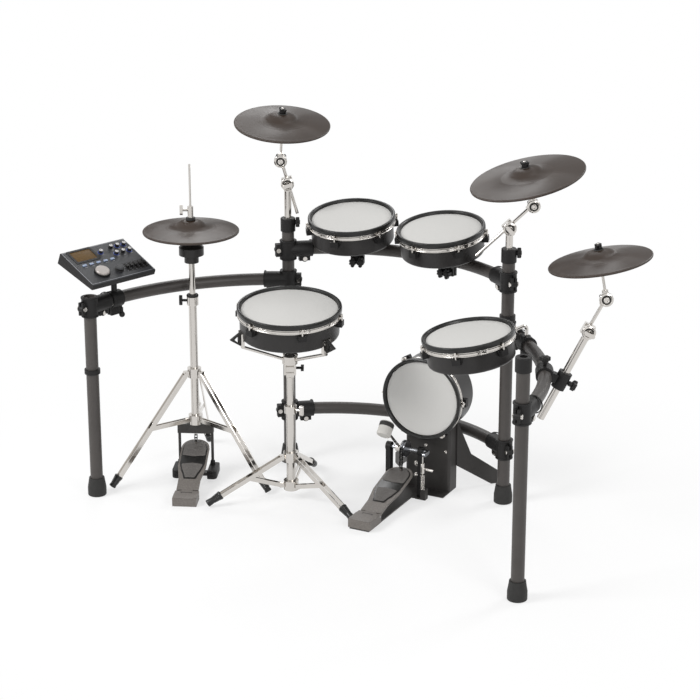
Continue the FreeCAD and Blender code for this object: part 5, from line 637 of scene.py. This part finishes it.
# wing nut and rubber seat on the bell
stopNut = {"bottom": 5.8, "wingReach": 16, "wingTop": 23, "wingHalf": 3.6, "turns": {"left": 20, "ride": 118,
                                                                                     "crash": 95}}
for label, cymbal in cymbals.items():
    if label == "hihat":
        place, body = kitSpot(*hihatFoot, 795), "hihat_top"
    else:
        lean = turn("Z", cymbal["heading"]) @ turn("Y", cymbal["lean"])
        place = Matrix.Translation(jointSpot[label + "_cymbal_rock"]) @ lean @ shift(z=-cymbalShape["bellUnder"])
        body = label + "_cymbal"
    squared = place @ turn("Z", -cymbal.get("heading", 0))  # the round mesh turned back, so that its box is snug
    addPiece(label + "Cymbal", cymbalMesh(label, cymbal["radius"]), "cymbal", squared, body, "cymbal_rubber",
             label + "_cymbal")
    if label == "hihat":
        continue  # its clutch holds it
    bellTop = cymbalShape["bellTop"]
    seatRing = lathe(label + "BellSeat", [(10.6, bellTop - 1.6), (15, bellTop - 2.4, 0.8),
                                          (14.4, bellTop + 2.6, 1.4), (10.6, bellTop + 2.8, 0.6)], 48)
    addPiece(label + "BellSeat", seatRing, "rubber", place, body, "rubber")
    reach, half, low, high = stopNut["wingReach"], stopNut["wingHalf"], stopNut["bottom"], stopNut["wingTop"]
    wings = slab("wings", [(-9, low + 3, 1), (9, low + 3, 1), (reach, high - 3, 3), (reach - 3, high, 2.4),
                           (7, high - 5, 2), (-7, high - 5, 2), (-reach + 3, high, 2.4),
                           (-reach, high - 3, 3)], -half, half, 1.2, 3, rounding=4)
    crown = lathe("crown", [(0, high - 6), (10.2, high - 6, 0.6), (9, high - 2, 1.6), (4.6, high - 1, 0.6),
                            (4.6, high - 3), (0, high - 3)], 32)
    nutPlace = place @ shift(z=cymbalShape["bellUnder"]) @ turn("Z", stopNut["turns"][label])
    addPiece(label + "WingNut", [(wings, turn("X", 90)), (crown, Matrix())], "nylon", nutPlace, label + "_post",
             "black_plastic")
    tip = lathe(label + "PostTip", [(0, high - 2.9), (3.9, high - 2.9), (3.9, high + 1, 0.8), (0, high + 1.4)], 24)
    addPiece(label + "PostTip", tip, "chrome", nutPlace, label + "_post", "chrome")
print("cymbals built:", len(cymbals))

# tilters: a turned drum round the wing screw below, a domed drum with a socket screw on the joint above, each
# with a rubber ring in its groove
tilter = {"faceAway": 12.1, "inner": 17.3, "outer": 20, "deep": -10.6, "grooveInner": 9.6, "grooveOuter": 12.8}
inner, outer, deep = tilter["inner"], tilter["outer"], tilter["deep"]
grooveInner, grooveOuter = tilter["grooveInner"], tilter["grooveOuter"]
skirt = [(inner, 0.1), (inner, deep), (outer, deep, 0.8), (outer, 0.6, 1.6), (grooveOuter + 1.4, 2.4, 0.9),
         (grooveOuter, 0.9, 0.3), (grooveInner, 0.9, 0.3)]
ringFace = lathe("ringFace", [(5.4, 0.1)] + skirt + [(8.6, 2.6, 0.7), (5.4, 2.6, 0.5)], 64)
capFace = lathe("capFace", [(0, 0.1)] + skirt + [(8.2, 4.6, 0.9), (4, 5, 0.4), (3.6, 2.6), (0, 2.6)], 64)
grooveRing = lathe("grooveRing", [(grooveInner + 0.2, 0.95), (grooveOuter - 0.2, 0.95), (grooveOuter - 0.2, 1.7),
                                  (grooveInner + 0.2, 1.7)], 64)
for arm in armNames:
    for joint, body, mesh in (("_boom_tilt", "_mast", ringFace), ("_post_tilt", "_post", capFace)):
        axis = jointAxis[arm + joint]
        front = axis if axis.y < 0 else -axis
        facePlace = facing(jointSpot[arm + joint] + front * tilter["faceAway"] / 1000, front)
        label = arm + body[1:].title()
        addPiece(label + "TilterFace", mesh.copy(), "chrome", facePlace, arm + body, "chrome")
        addPiece(label + "TilterRing", grooveRing.copy(), "rubber", facePlace, arm + body, "rubber")
print("tilters dressed")

# hi-hat clutch: a pressed washer on the bell
clutchFelt = {"radius": 14.5, "bellTop": 830.3}
felt = lathe("clutchFelts", [(10, 0), (clutchFelt["radius"], 0, 2), (clutchFelt["radius"], 9.4, 2), (10, 9.4)], 48)
addPiece("clutchFelts", felt, "rubber", kitSpot(*hihatFoot, clutchFelt["bellTop"]), "hihat_top", "felt")

# footboards: a black frame in a spade shape with two ribbed grip panels, bare between them
footboard = {"top": 7, "halfWidth": 37, "kickLean": 15.06, "hihatLean": 20.69, "hihatHeading": 22.4}
boards = {
    "kick": {"place": Matrix.Translation(jointSpot["kick_pedal_press"]) @ turn("X", footboard["kickLean"]) @
             shift(z=-3.5), "body": "kick_pedal", "toe": 239},
    "hihat": {"place": Matrix.Translation(jointSpot["hihat_pedal_press"]) @ turn("Z", footboard["hihatHeading"]) @
              turn("X", footboard["hihatLean"]) @ shift(z=-3.5), "body": "hihat_pedal", "toe": 237}}
for label, board in boards.items():
    half, toe, top = footboard["halfWidth"], board["toe"], footboard["top"]
    spade = slab("spade", [(-19, 62, 4), (19, 62, 4), (25, 84, 8), (half - 6, 98, 12), (half + 2, 130, 26),
                           (half + 2, toe, 37), (-half - 2, toe, 37), (-half - 2, 130, 26),
                           (-half + 6, 98, 12), (-25, 84, 8)], top + 0.05, top + 1.0, 0.4, rounding=6)
    addPiece(label + "BoardFrame", spade, "rimRubber", board["place"], board["body"], "rubber")
    toeGrip = slab("toeGrip", [(-half + 1, 168, 5), (0, 163), (half - 1, 168, 5), (half - 2, toe - 4, 33),
                               (-half + 2, toe - 4, 33)], top + 0.9, top + 2.4, 0.6, rounding=6)
    midGrip = slab("midGrip", [(-15, 67, 3), (15, 67, 3), (21, 87, 8), (half - 10, 102, 12), (half - 3, 128, 5),
                               (0, 133), (-half + 3, 128, 5), (-half + 10, 102, 12), (-21, 87, 8)],
                   top + 0.9, top + 2.4, 0.6, rounding=5)
    rib = block("rib", 50, 1.6, top + 2.2, top + 2.9, 0.4)
    ribs = [(rib, shift(y=178 + 8 * number)) for number in range(6)]
    shortRib = block("shortRib", 28, 1.6, top + 2.2, top + 2.9, 0.4)
    ribs += [(shortRib, shift(y=78 + 8 * number)) for number in range(6)]
    grips = [(toeGrip, Matrix()), (midGrip, Matrix())] + ribs
    addPiece(label + "BoardGrips", grips, "grip", board["place"], board["body"], "rubber")
heels = {"kick": {"turn": 0, "back": -69}, "hihat": {"turn": footboard["hihatHeading"], "back": -57}}
for label, heel in heels.items():
    place = Matrix.Translation(jointSpot[label + "_pedal_press"]) @ turn("Z", heel["turn"])
    half, back = footboard["halfWidth"], heel["back"]
    plate = slab("heelPlate", [(-half, back, 9), (half, back, 9), (half, -14, 14), (25, 3, 3), (-25, 3, 3),
                               (-half, -14, 14)], 6.05, 7.8, 0.7, rounding=5)
    addPiece(label + "HeelPlate", plate, "board", place, "rack", "powder_coat")
    # painted shade: a thin black sheet in the shape of the heel's groove, laid on the plate where the groove lies
    # in shadow
    groove = slab("heelGrooveShade", [(-17, -16, 0.6), (-14, -16, 0.6), (-14, -12), (14, -12), (14, -16, 0.6),
                                 (17, -16, 0.6), (17, -9, 1), (-17, -9, 1)], 7.7, 7.95, 0.1, rounding=2)
    addPiece(label + "HeelGrooveShade", groove, "nylon", place, "rack", "black_plastic")

# hi-hat pedal: moulded blocks that hold the two rods on the floor plate
rodBlock = {"across": 51.5, "inner": 41.5, "right": 72, "left": 69, "back": 16, "front": -66, "low": 10.1,
            "high": 37, "screw": 55}
blockParts = []
for side, outer in ((1, rodBlock["right"]), (-1, rodBlock["left"])):
    x0, x1, front, back, high = (side * rodBlock["inner"], side * outer, rodBlock["front"], rodBlock["back"],
                                 rodBlock["high"])
    shape = slab("rodBlock", [(x0, front, 4), (x1, front, 12), (x1, back, 7), (x0, back, 4)],
                 rodBlock["low"], high, 3, 3, rounding=4)
    collar = lathe("rodCollar", [(4.6, 0), (8, 0), (7, 12, 2), (4.6, 12)], 32)
    screwEnd = lathe("screwEnd", [(0, -1), (7.6, -1), (7.6, 2.2, 1), (5, 2.8, 0.8), (4.2, 1), (0, 1)], 32)
    screwSpot = shift(side * rodBlock["screw"], front, (rodBlock["low"] + high) / 2) @ turn("X", 90)
    blockParts += [(shape, Matrix()), (collar, shift(side * rodBlock["across"], 0, high)), (screwEnd, screwSpot)]
addPiece("hihatRodBlocks", blockParts, "nylon", kitSpot(*hihatFoot, 0) @ turn("Z", footboard["hihatHeading"]),
         "rack", "black_plastic")
print("footboards dressed")

# kick beater: a dark cap on the half of the head that strikes, and a socket where the stem enters it
beater = {"lean": 47, "stemLength": 140, "stemAcross": -18.3}
beaterPlace = (Matrix.Translation(jointSpot["kick_beater_swing"]) @ turn("X", beater["lean"]) @
               shift(beater["stemAcross"], 0, beater["stemLength"]) @ turn("X", -90))
collar = lathe("beaterCollar", [(22.05, 5), (22.7, 5, 0.2), (22.7, 18.2, 1), (18.3, 22.5, 1), (0, 22.5),
                                (0, 22.1), (18.1, 22.1), (22.05, 18.1)], 64, rounding=2)
socket = lathe("beaterSocket", [(4.3, -34), (8, -34, 1.4), (10.5, -24, 2), (10.5, -20), (4.3, -20)], 32)
addPiece("beaterCollar", [(collar, Matrix()), (socket, turn("X", 90))], "rubber", beaterPlace, "beater", "rubber")

# kick tower: domed bolts through the front of the folded sheet, each on a washer
towerBolt = {"front": -14.05, "spots": [(83.5, 79.5, 1.2), (83.9, 40, 1.2), (115, 145, 0.8), (181.4, 134, 0.8)]}
boltHead = lathe("boltHead", [(0, 0), (7, 0, 0.4), (7, 1.2, 0.4), (5.4, 1.2), (5.4, 2.6, 0.6), (3.6, 4.6, 1.6),
                              (0, 5)], 32)
bolts = [(boltHead, kitSpot(x, towerBolt["front"], z) @ turn("X", 90) @ Matrix.Scale(size, 4))
         for x, z, size in towerBolt["spots"]]
addPiece("towerBolts", bolts, "chrome", Matrix(), "rack", "steel")

# spring of the kick pedal: a guide sleeve on its rod, with the grip of the screw that sets the tension
springGuide = {"x": 146.5, "y": -104, "low": 89, "grip": 106}
sleeve = lathe("springSleeve", [(2.3, 0), (5.8, 0, 1), (5.8, 33, 1), (2.3, 33)], 32)
grip = lathe("springGrip", [(0, 4), (2.6, 4), (2.6, 9), (5.2, 10, 1.6), (4.6, 32, 2), (0, 33)], 32, rounding=4)
guideSpot = kitSpot(springGuide["x"], springGuide["y"], springGuide["low"])
gripSpot = kitSpot(springGuide["x"], springGuide["y"], springGuide["grip"]) @ turn("Z", 27) @ turn("Y", 106)
addPiece("springGuide", [(sleeve, guideSpot), (grip, gripSpot)], "chrome", Matrix(), "rack", "chrome")
print("kick tower and beater dressed")

# rack clamps: a bead round both ends of each sleeve and the end of its socket, a boss round each bolt
uprights = [kitSpot(x, y, 0).translation for x, y in ((-370, 0), (370, 0), (-768, -513), (676, -615))]
clamp = {"sleeveRadius": 25, "sleeveHalf": 31, "socketReach": 76, "bead": 1.6, "beadWidth": 5.5, "earNear": 0.045,
         "boss": 10.5, "bossHalf": 10.2, "boltBelow": 31.5}
radius, bead, beadWidth = clamp["sleeveRadius"], clamp["bead"], clamp["beadWidth"]
beadRing = lathe("beadRing", [(radius - 1, -beadWidth), (radius + bead, -beadWidth, 1.2),
                              (radius + bead, -0.6, 1.2), (radius - 1, 0.4, 0.6)], 64, rounding=4)
boss = lathe("boltBoss", [(0, -clamp["bossHalf"]), (clamp["boss"], -clamp["bossHalf"], 2),
                          (clamp["boss"], clamp["bossHalf"], 2), (0, clamp["bossHalf"])], 40, rounding=4)
clampParts = []
for points in solidPoints("rack_bolts"):
    spot = (Vector(min(point[axis] for point in points) for axis in range(3)) +
            Vector(max(point[axis] for point in points) for axis in range(3))) / 2
    upright = min(uprights, key=lambda foot: (foot.xy - spot.xy).length)
    outward = (spot.xy - upright.xy).to_3d()
    if outward.length < clamp["earNear"]:
        away = outward.normalized()
        level = Vector((upright.x, upright.y, spot.z))
        clampParts += [(beadRing, Matrix.Translation(level) @ shift(z=clamp["sleeveHalf"])),
                       (beadRing, Matrix.Translation(level) @ shift(z=-clamp["sleeveHalf"]) @ turn("X", 180))]
        clampParts.append((boss, facing(spot, Vector((-away.y, away.x, 0)))))
    else:
        socketWay = outward.normalized()
        axisLevel = Vector((upright.x, upright.y, spot.z + clamp["boltBelow"] / 1000))
        level = axisLevel + socketWay * clamp["socketReach"] / 1000
        clampParts += [(beadRing, facing(level, socketWay)),
                       (boss, facing(spot, Vector((-socketWay.y, socketWay.x, 0))))]
addPiece("rackClampTrim", clampParts, "nylon", Matrix(), "rack", "black_plastic")

# hand knobs of the collars and the tom clamps: lobed, moulded over the cross bars
knob = {"lobes": 6, "single": 15.6, "paired": 12, "half": 5.8, "hub": 7.6, "near": 0.034,
        "barLength": (0.03, 0.0335), "barEnd": 0.0176}
knobSpots = []
for points in solidPoints("rack_collars"):
    reach, first, second = max((((a - b).length, a, b) for a in points for b in points), key=lambda pair: pair[0])
    if not knob["barLength"][0] <= reach <= knob["barLength"][1]:
        continue
    centre = (first + second) / 2
    base = middle([point for point in points if (point - centre).length > knob["barEnd"]])
    knobSpots.append((centre, (centre - base).normalized(), (first - second).normalized()))
knobParts = []
for centre, axis, bar in knobSpots:
    paired = any(0.001 < (other[0] - centre).length < knob["near"] for other in knobSpots)
    radius = knob["paired"] if paired else knob["single"]
    outline = [((radius - 1.5 + 1.5 * math.cos(knob["lobes"] * angle)) * math.cos(angle),
                (radius - 1.5 + 1.5 * math.cos(knob["lobes"] * angle)) * math.sin(angle))
               for angle in (2 * math.pi * step / 72 for step in range(72))]
    wheel = slab("wheel", outline, -knob["half"], knob["half"], 1.4, 3)
    hub = lathe("hub", [(0, -17), (knob["hub"], -17, 1), (knob["hub"], 7.4, 2), (0, 7.8)], 32)
    place = facing(centre, axis, bar)
    knobParts += [(wheel, place), (hub, place)]
addPiece("rackKnobs", knobParts, "nylon", Matrix(), "rack", "black_plastic")
print("rack dressed:", len(clampParts), "clamp parts,", len(knobSpots), "knobs")

# stand boots: tapered ribbed rubber, pushed on along the legs, which end above the floor
stands = {"hihat": {"hub": kitSpot(*hihatFoot, 369).translation, "reach": 0.266},
          "snare": {"hub": kitSpot(*snareFoot, 160).translation, "reach": 0.232}}
boot = {"mouth": 13.6, "tip": 11.4, "legEnd": 28, "grip": 15, "floor": 0.3, "ribs": 5, "ribPitch": 2.6}
bootParts = []
for points in solidPoints("stand_feet"):
    foot = middle(points)
    stand = min(stands.values(), key=lambda item: abs((item["hub"].xy - foot.xy).length - item["reach"]))
    legEnd = Vector((foot.x, foot.y, boot["legEnd"] / 1000))
    down = (legEnd - stand["hub"]).normalized()
    tipReach = (boot["legEnd"] - boot["floor"] - boot["tip"] * math.hypot(down.x, down.y)) / -down.z
    length = tipReach + boot["grip"]
    ribLine = [(boot["mouth"] - 0.3 * number - 1.1 * (number % 2), length - 6 - boot["ribPitch"] * number)
               for number in range(2 * boot["ribs"])]
    shell = lathe("boot", [(0, length), (boot["mouth"] - 1, length, 1.4), (boot["mouth"], length - 3, 1.4)] +
                          ribLine + [(boot["tip"], 0, 3), (0, 0)], 40)
    bootParts.append((shell, facing(legEnd + down * tipReach / 1000, -down)))
addPiece("standBoots", bootParts, "rimRubber", Matrix(), "rack", "rubber", "stand_feet")

# hi-hat stand: the dark guide ring on the height collar
guideRing = lathe("guideRing", [(9.8, 0.1), (17.6, 0.1, 2), (18.8, 4, 2), (16.4, 8, 2.4), (9.8, 8, 1)], 48,
                  rounding=4)
addPiece("hihatGuideRing", guideRing, "nylon", kitSpot(*hihatFoot, 588), "rack", "black_plastic")
print("stands dressed")

# module case: the faces turned away from its top take the black nylon as painted shade; the top face stays
# charcoal
modulePlace = kitSpot(-743, -443, 733) @ turn("Z", 71) @ turn("X", 23)
moduleUp = modulePlace.to_3x3() @ Vector((0, 0, 1))
caseMesh = nodes["module_case"].data
caseMesh.materials.append(finishes["nylon"])
caseTurn = nodes["module_case"].matrix_world.to_3x3()
for polygon in caseMesh.polygons:
    # painted shade: faces that turn away from the module's top are made black, as light falls less on them
    if (caseTurn @ polygon.normal).dot(moduleUp) < 0.5:
        polygon.material_index = 1

# module clamp: a ball grip on the screw below it and a bolt through its jaws
ball = lathe("ballGrip", [(0, -9)] + [(9 * math.sin(math.radians(angle)), -9 * math.cos(math.radians(angle)))
                                      for angle in range(15, 150, 15)] + [(4.4, 8.6), (4.2, 22), (0, 22)], 32)
addPiece("moduleClampGrip", ball, "nylon", kitSpot(-712, -425, 566), "rack", "black_plastic")
jawBolt = (boltHead, kitSpot(-738, -443, 599) @ turn("Z", 27) @ turn("X", 90))
addPiece("moduleClampBolt", [jawBolt], "chrome", Matrix(), "rack", "steel")

# module face: window and bezel, printed rings and lines, a ridged fader field, a painted highlight in pale grey
# along the face edge
face = {"halfWidth": 118, "halfDepth": 85, "screen": (-94, 26, -18, 76),
        "knobs": [(4.7, 45.9), (49.6, 56.1), (74.3, 56.1), (99.1, 56.1), (49.6, 25.5), (74.3, 25.5), (99.1, 25.5)],
        "ringed": (0, 2, 3, 4, 6), "faderLeft": 40, "faderPitch": 16, "faderY": -44, "volume": (8, -46),
        "dial": (-52, -40)}
onModule = ("module", "module_plastic")


def framing(name, outer, inset, low, high):
    # a flat frame between an outline and the same outline moved in
    bm = bmesh.new()
    rings = []
    for height in (low, high):
        for edge in (0, inset):
            x0, y0, x1, y1 = outer[0] + edge, outer[1] + edge, outer[2] - edge, outer[3] - edge
            outline = softCorners([(x0, y0, 4), (x1, y0, 4), (x1, y1, 4), (x0, y1, 4)], 4)
            rings.append([bm.verts.new((x / 1000, y / 1000, height / 1000)) for x, y in outline])
    count = len(rings[0])
    for first, second in ((0, 1), (1, 3), (3, 2), (2, 0)):
        for index in range(count):
            after = (index + 1) % count
            bm.faces.new([rings[first][index], rings[first][after], rings[second][after], rings[second][index]])
    return finishMesh(name, bm)


x0, y0, x1, y1 = face["screen"]
window = slab("window", [(x0 + 0.6, y0 + 0.6, 1), (x1 - 0.6, y0 + 0.6, 1), (x1 - 0.6, y1 - 0.6, 1),
                         (x0 + 0.6, y1 - 0.6, 1)], -1.4, -0.3, 0.2, rounding=2)
addPiece("moduleScreen", window, "screen", modulePlace, *onModule)
bezel = framing("moduleBezel", (x0 - 7, y0 - 6, x1 + 7, y1 + 6), 7.4, 0.05, 1.2)
addPiece("moduleBezel", bezel, "nylon", modulePlace, *onModule)
rings = [(lathe("knobRing", [(7.4, 0.05), (9.2, 0.05), (9.2, 0.5), (7.4, 0.5)], 40), shift(*face["knobs"][number]))
         for number in face["ringed"]]
addPiece("moduleKnobRings", rings, "blue", modulePlace, *onModule)
knobCap = lathe("knobCap", [(0, 9.15), (6.1, 9.15, 0.3), (5.2, 10.3, 0.6), (0, 10.5)], 32)
caps = [(knobCap, shift(*spot)) for spot in face["knobs"]]
addPiece("moduleKnobCaps", caps, "white", modulePlace, *onModule)
volumeCap = lathe("volumeCap", [(0, 9.15), (10.6, 9.15, 0.5), (12.4, 8.4, 0.6), (13, 9.4, 0.6), (10.4, 11.2, 1.2),
                                (0, 11.6)], 48)
# painted shade: a dark nylon ring round the foot of the volume cap, where shadow falls under its edge
volumeShadeRing = lathe("volumeShadeRing", [(10.2, 0.05), (14.2, 0.05, 0.5), (12.8, 3.4, 1), (10.2, 3.4)], 48)
addPiece("moduleVolumeCap", volumeCap, "case", modulePlace @ shift(*face["volume"]), *onModule)
addPiece("moduleVolumeShadeRing", volumeShadeRing, "nylon", modulePlace @ shift(*face["volume"]), *onModule)
ridge = block("ridge", 1.5, 2.2, 0.7, 5.6, 0.4)
dialSkirt = lathe("dialSkirt", [(22.1, 0.6), (24.4, 0.6, 0.5), (23.4, 6, 0.8), (22.1, 6.2)], 64)
ridges = [(ridge, turn("Z", 12 * number) @ shift(24)) for number in range(30)]
addPiece("dialSkirt", [(dialSkirt, Matrix())] + ridges, "nylon", modulePlace @ shift(*face["dial"]), "dial",
         "black_plastic")
strips = [(block("strip", right - left, 40, 0.02, 0.08, 0), shift((left + right) / 2, face["faderY"]))
          for left, right in ((33, 38.8), (41.2, 54.8), (57.2, 70.8), (73.2, 86.8), (89.2, 102.8), (105.2, 112))]
addPiece("moduleFaderPanel", strips, "nylon", modulePlace, *onModule)
vent = slab("vent", [(-9, -2, 1.4), (9, -2, 1.4), (9, 2, 1.4), (-9, 2, 1.4)], 0.02, 0.3, 0.1)
vents = [(vent, shift(-face["halfWidth"], -48 + 26 * number, -15) @ turn("Z", -90) @ turn("X", 90))
         for number in range(5)]
addPiece("moduleSideSlots", vents, "nylon", modulePlace, *onModule)
pointer = block("pointer", 1.2, 4.4, 10.4, 10.9, 0.2)
pointers = [(pointer, shift(*spot) @ turn("Z", 40 - 17 * number) @ shift(y=2.6)) for number, spot in
            enumerate(face["knobs"])]
addPiece("moduleKnobMarks", pointers, "nylon", modulePlace, *onModule)
# painted highlight: a pale grey line just inside the edge of the face, where the edge catches the light
faceEdgeHighlight = framing("moduleRimHighlight", (-face["halfWidth"] + 1, -face["halfDepth"] + 5, face["halfWidth"] - 1,
                                  face["halfDepth"] - 5), 1.3, 0.03, 0.5)
addPiece("moduleRimHighlightLine", faceEdgeHighlight, "ink", modulePlace, *onModule)
tick = block("tick", 3.6, 0.7, 0.04, 0.35, 0.1)
ticks = [(tick, shift(face["faderLeft"] + face["faderPitch"] * (number - 0.5) + 0.6, face["faderY"] + rise))
         for number in range(6) for rise in (-16, -8, 0, 8, 16)]
legend = block("legend", 9, 1.4, 0.04, 0.3, 0.1)
ticks += [(legend, shift(-83.5 + 26 * number, -2.5)) for number in range(5)]
ticks += [(legend, shift(spot[0], spot[1] - 13)) for spot in face["knobs"]]
addPiece("modulePrint", ticks, "ink", modulePlace, *onModule)
print("module face dressed")
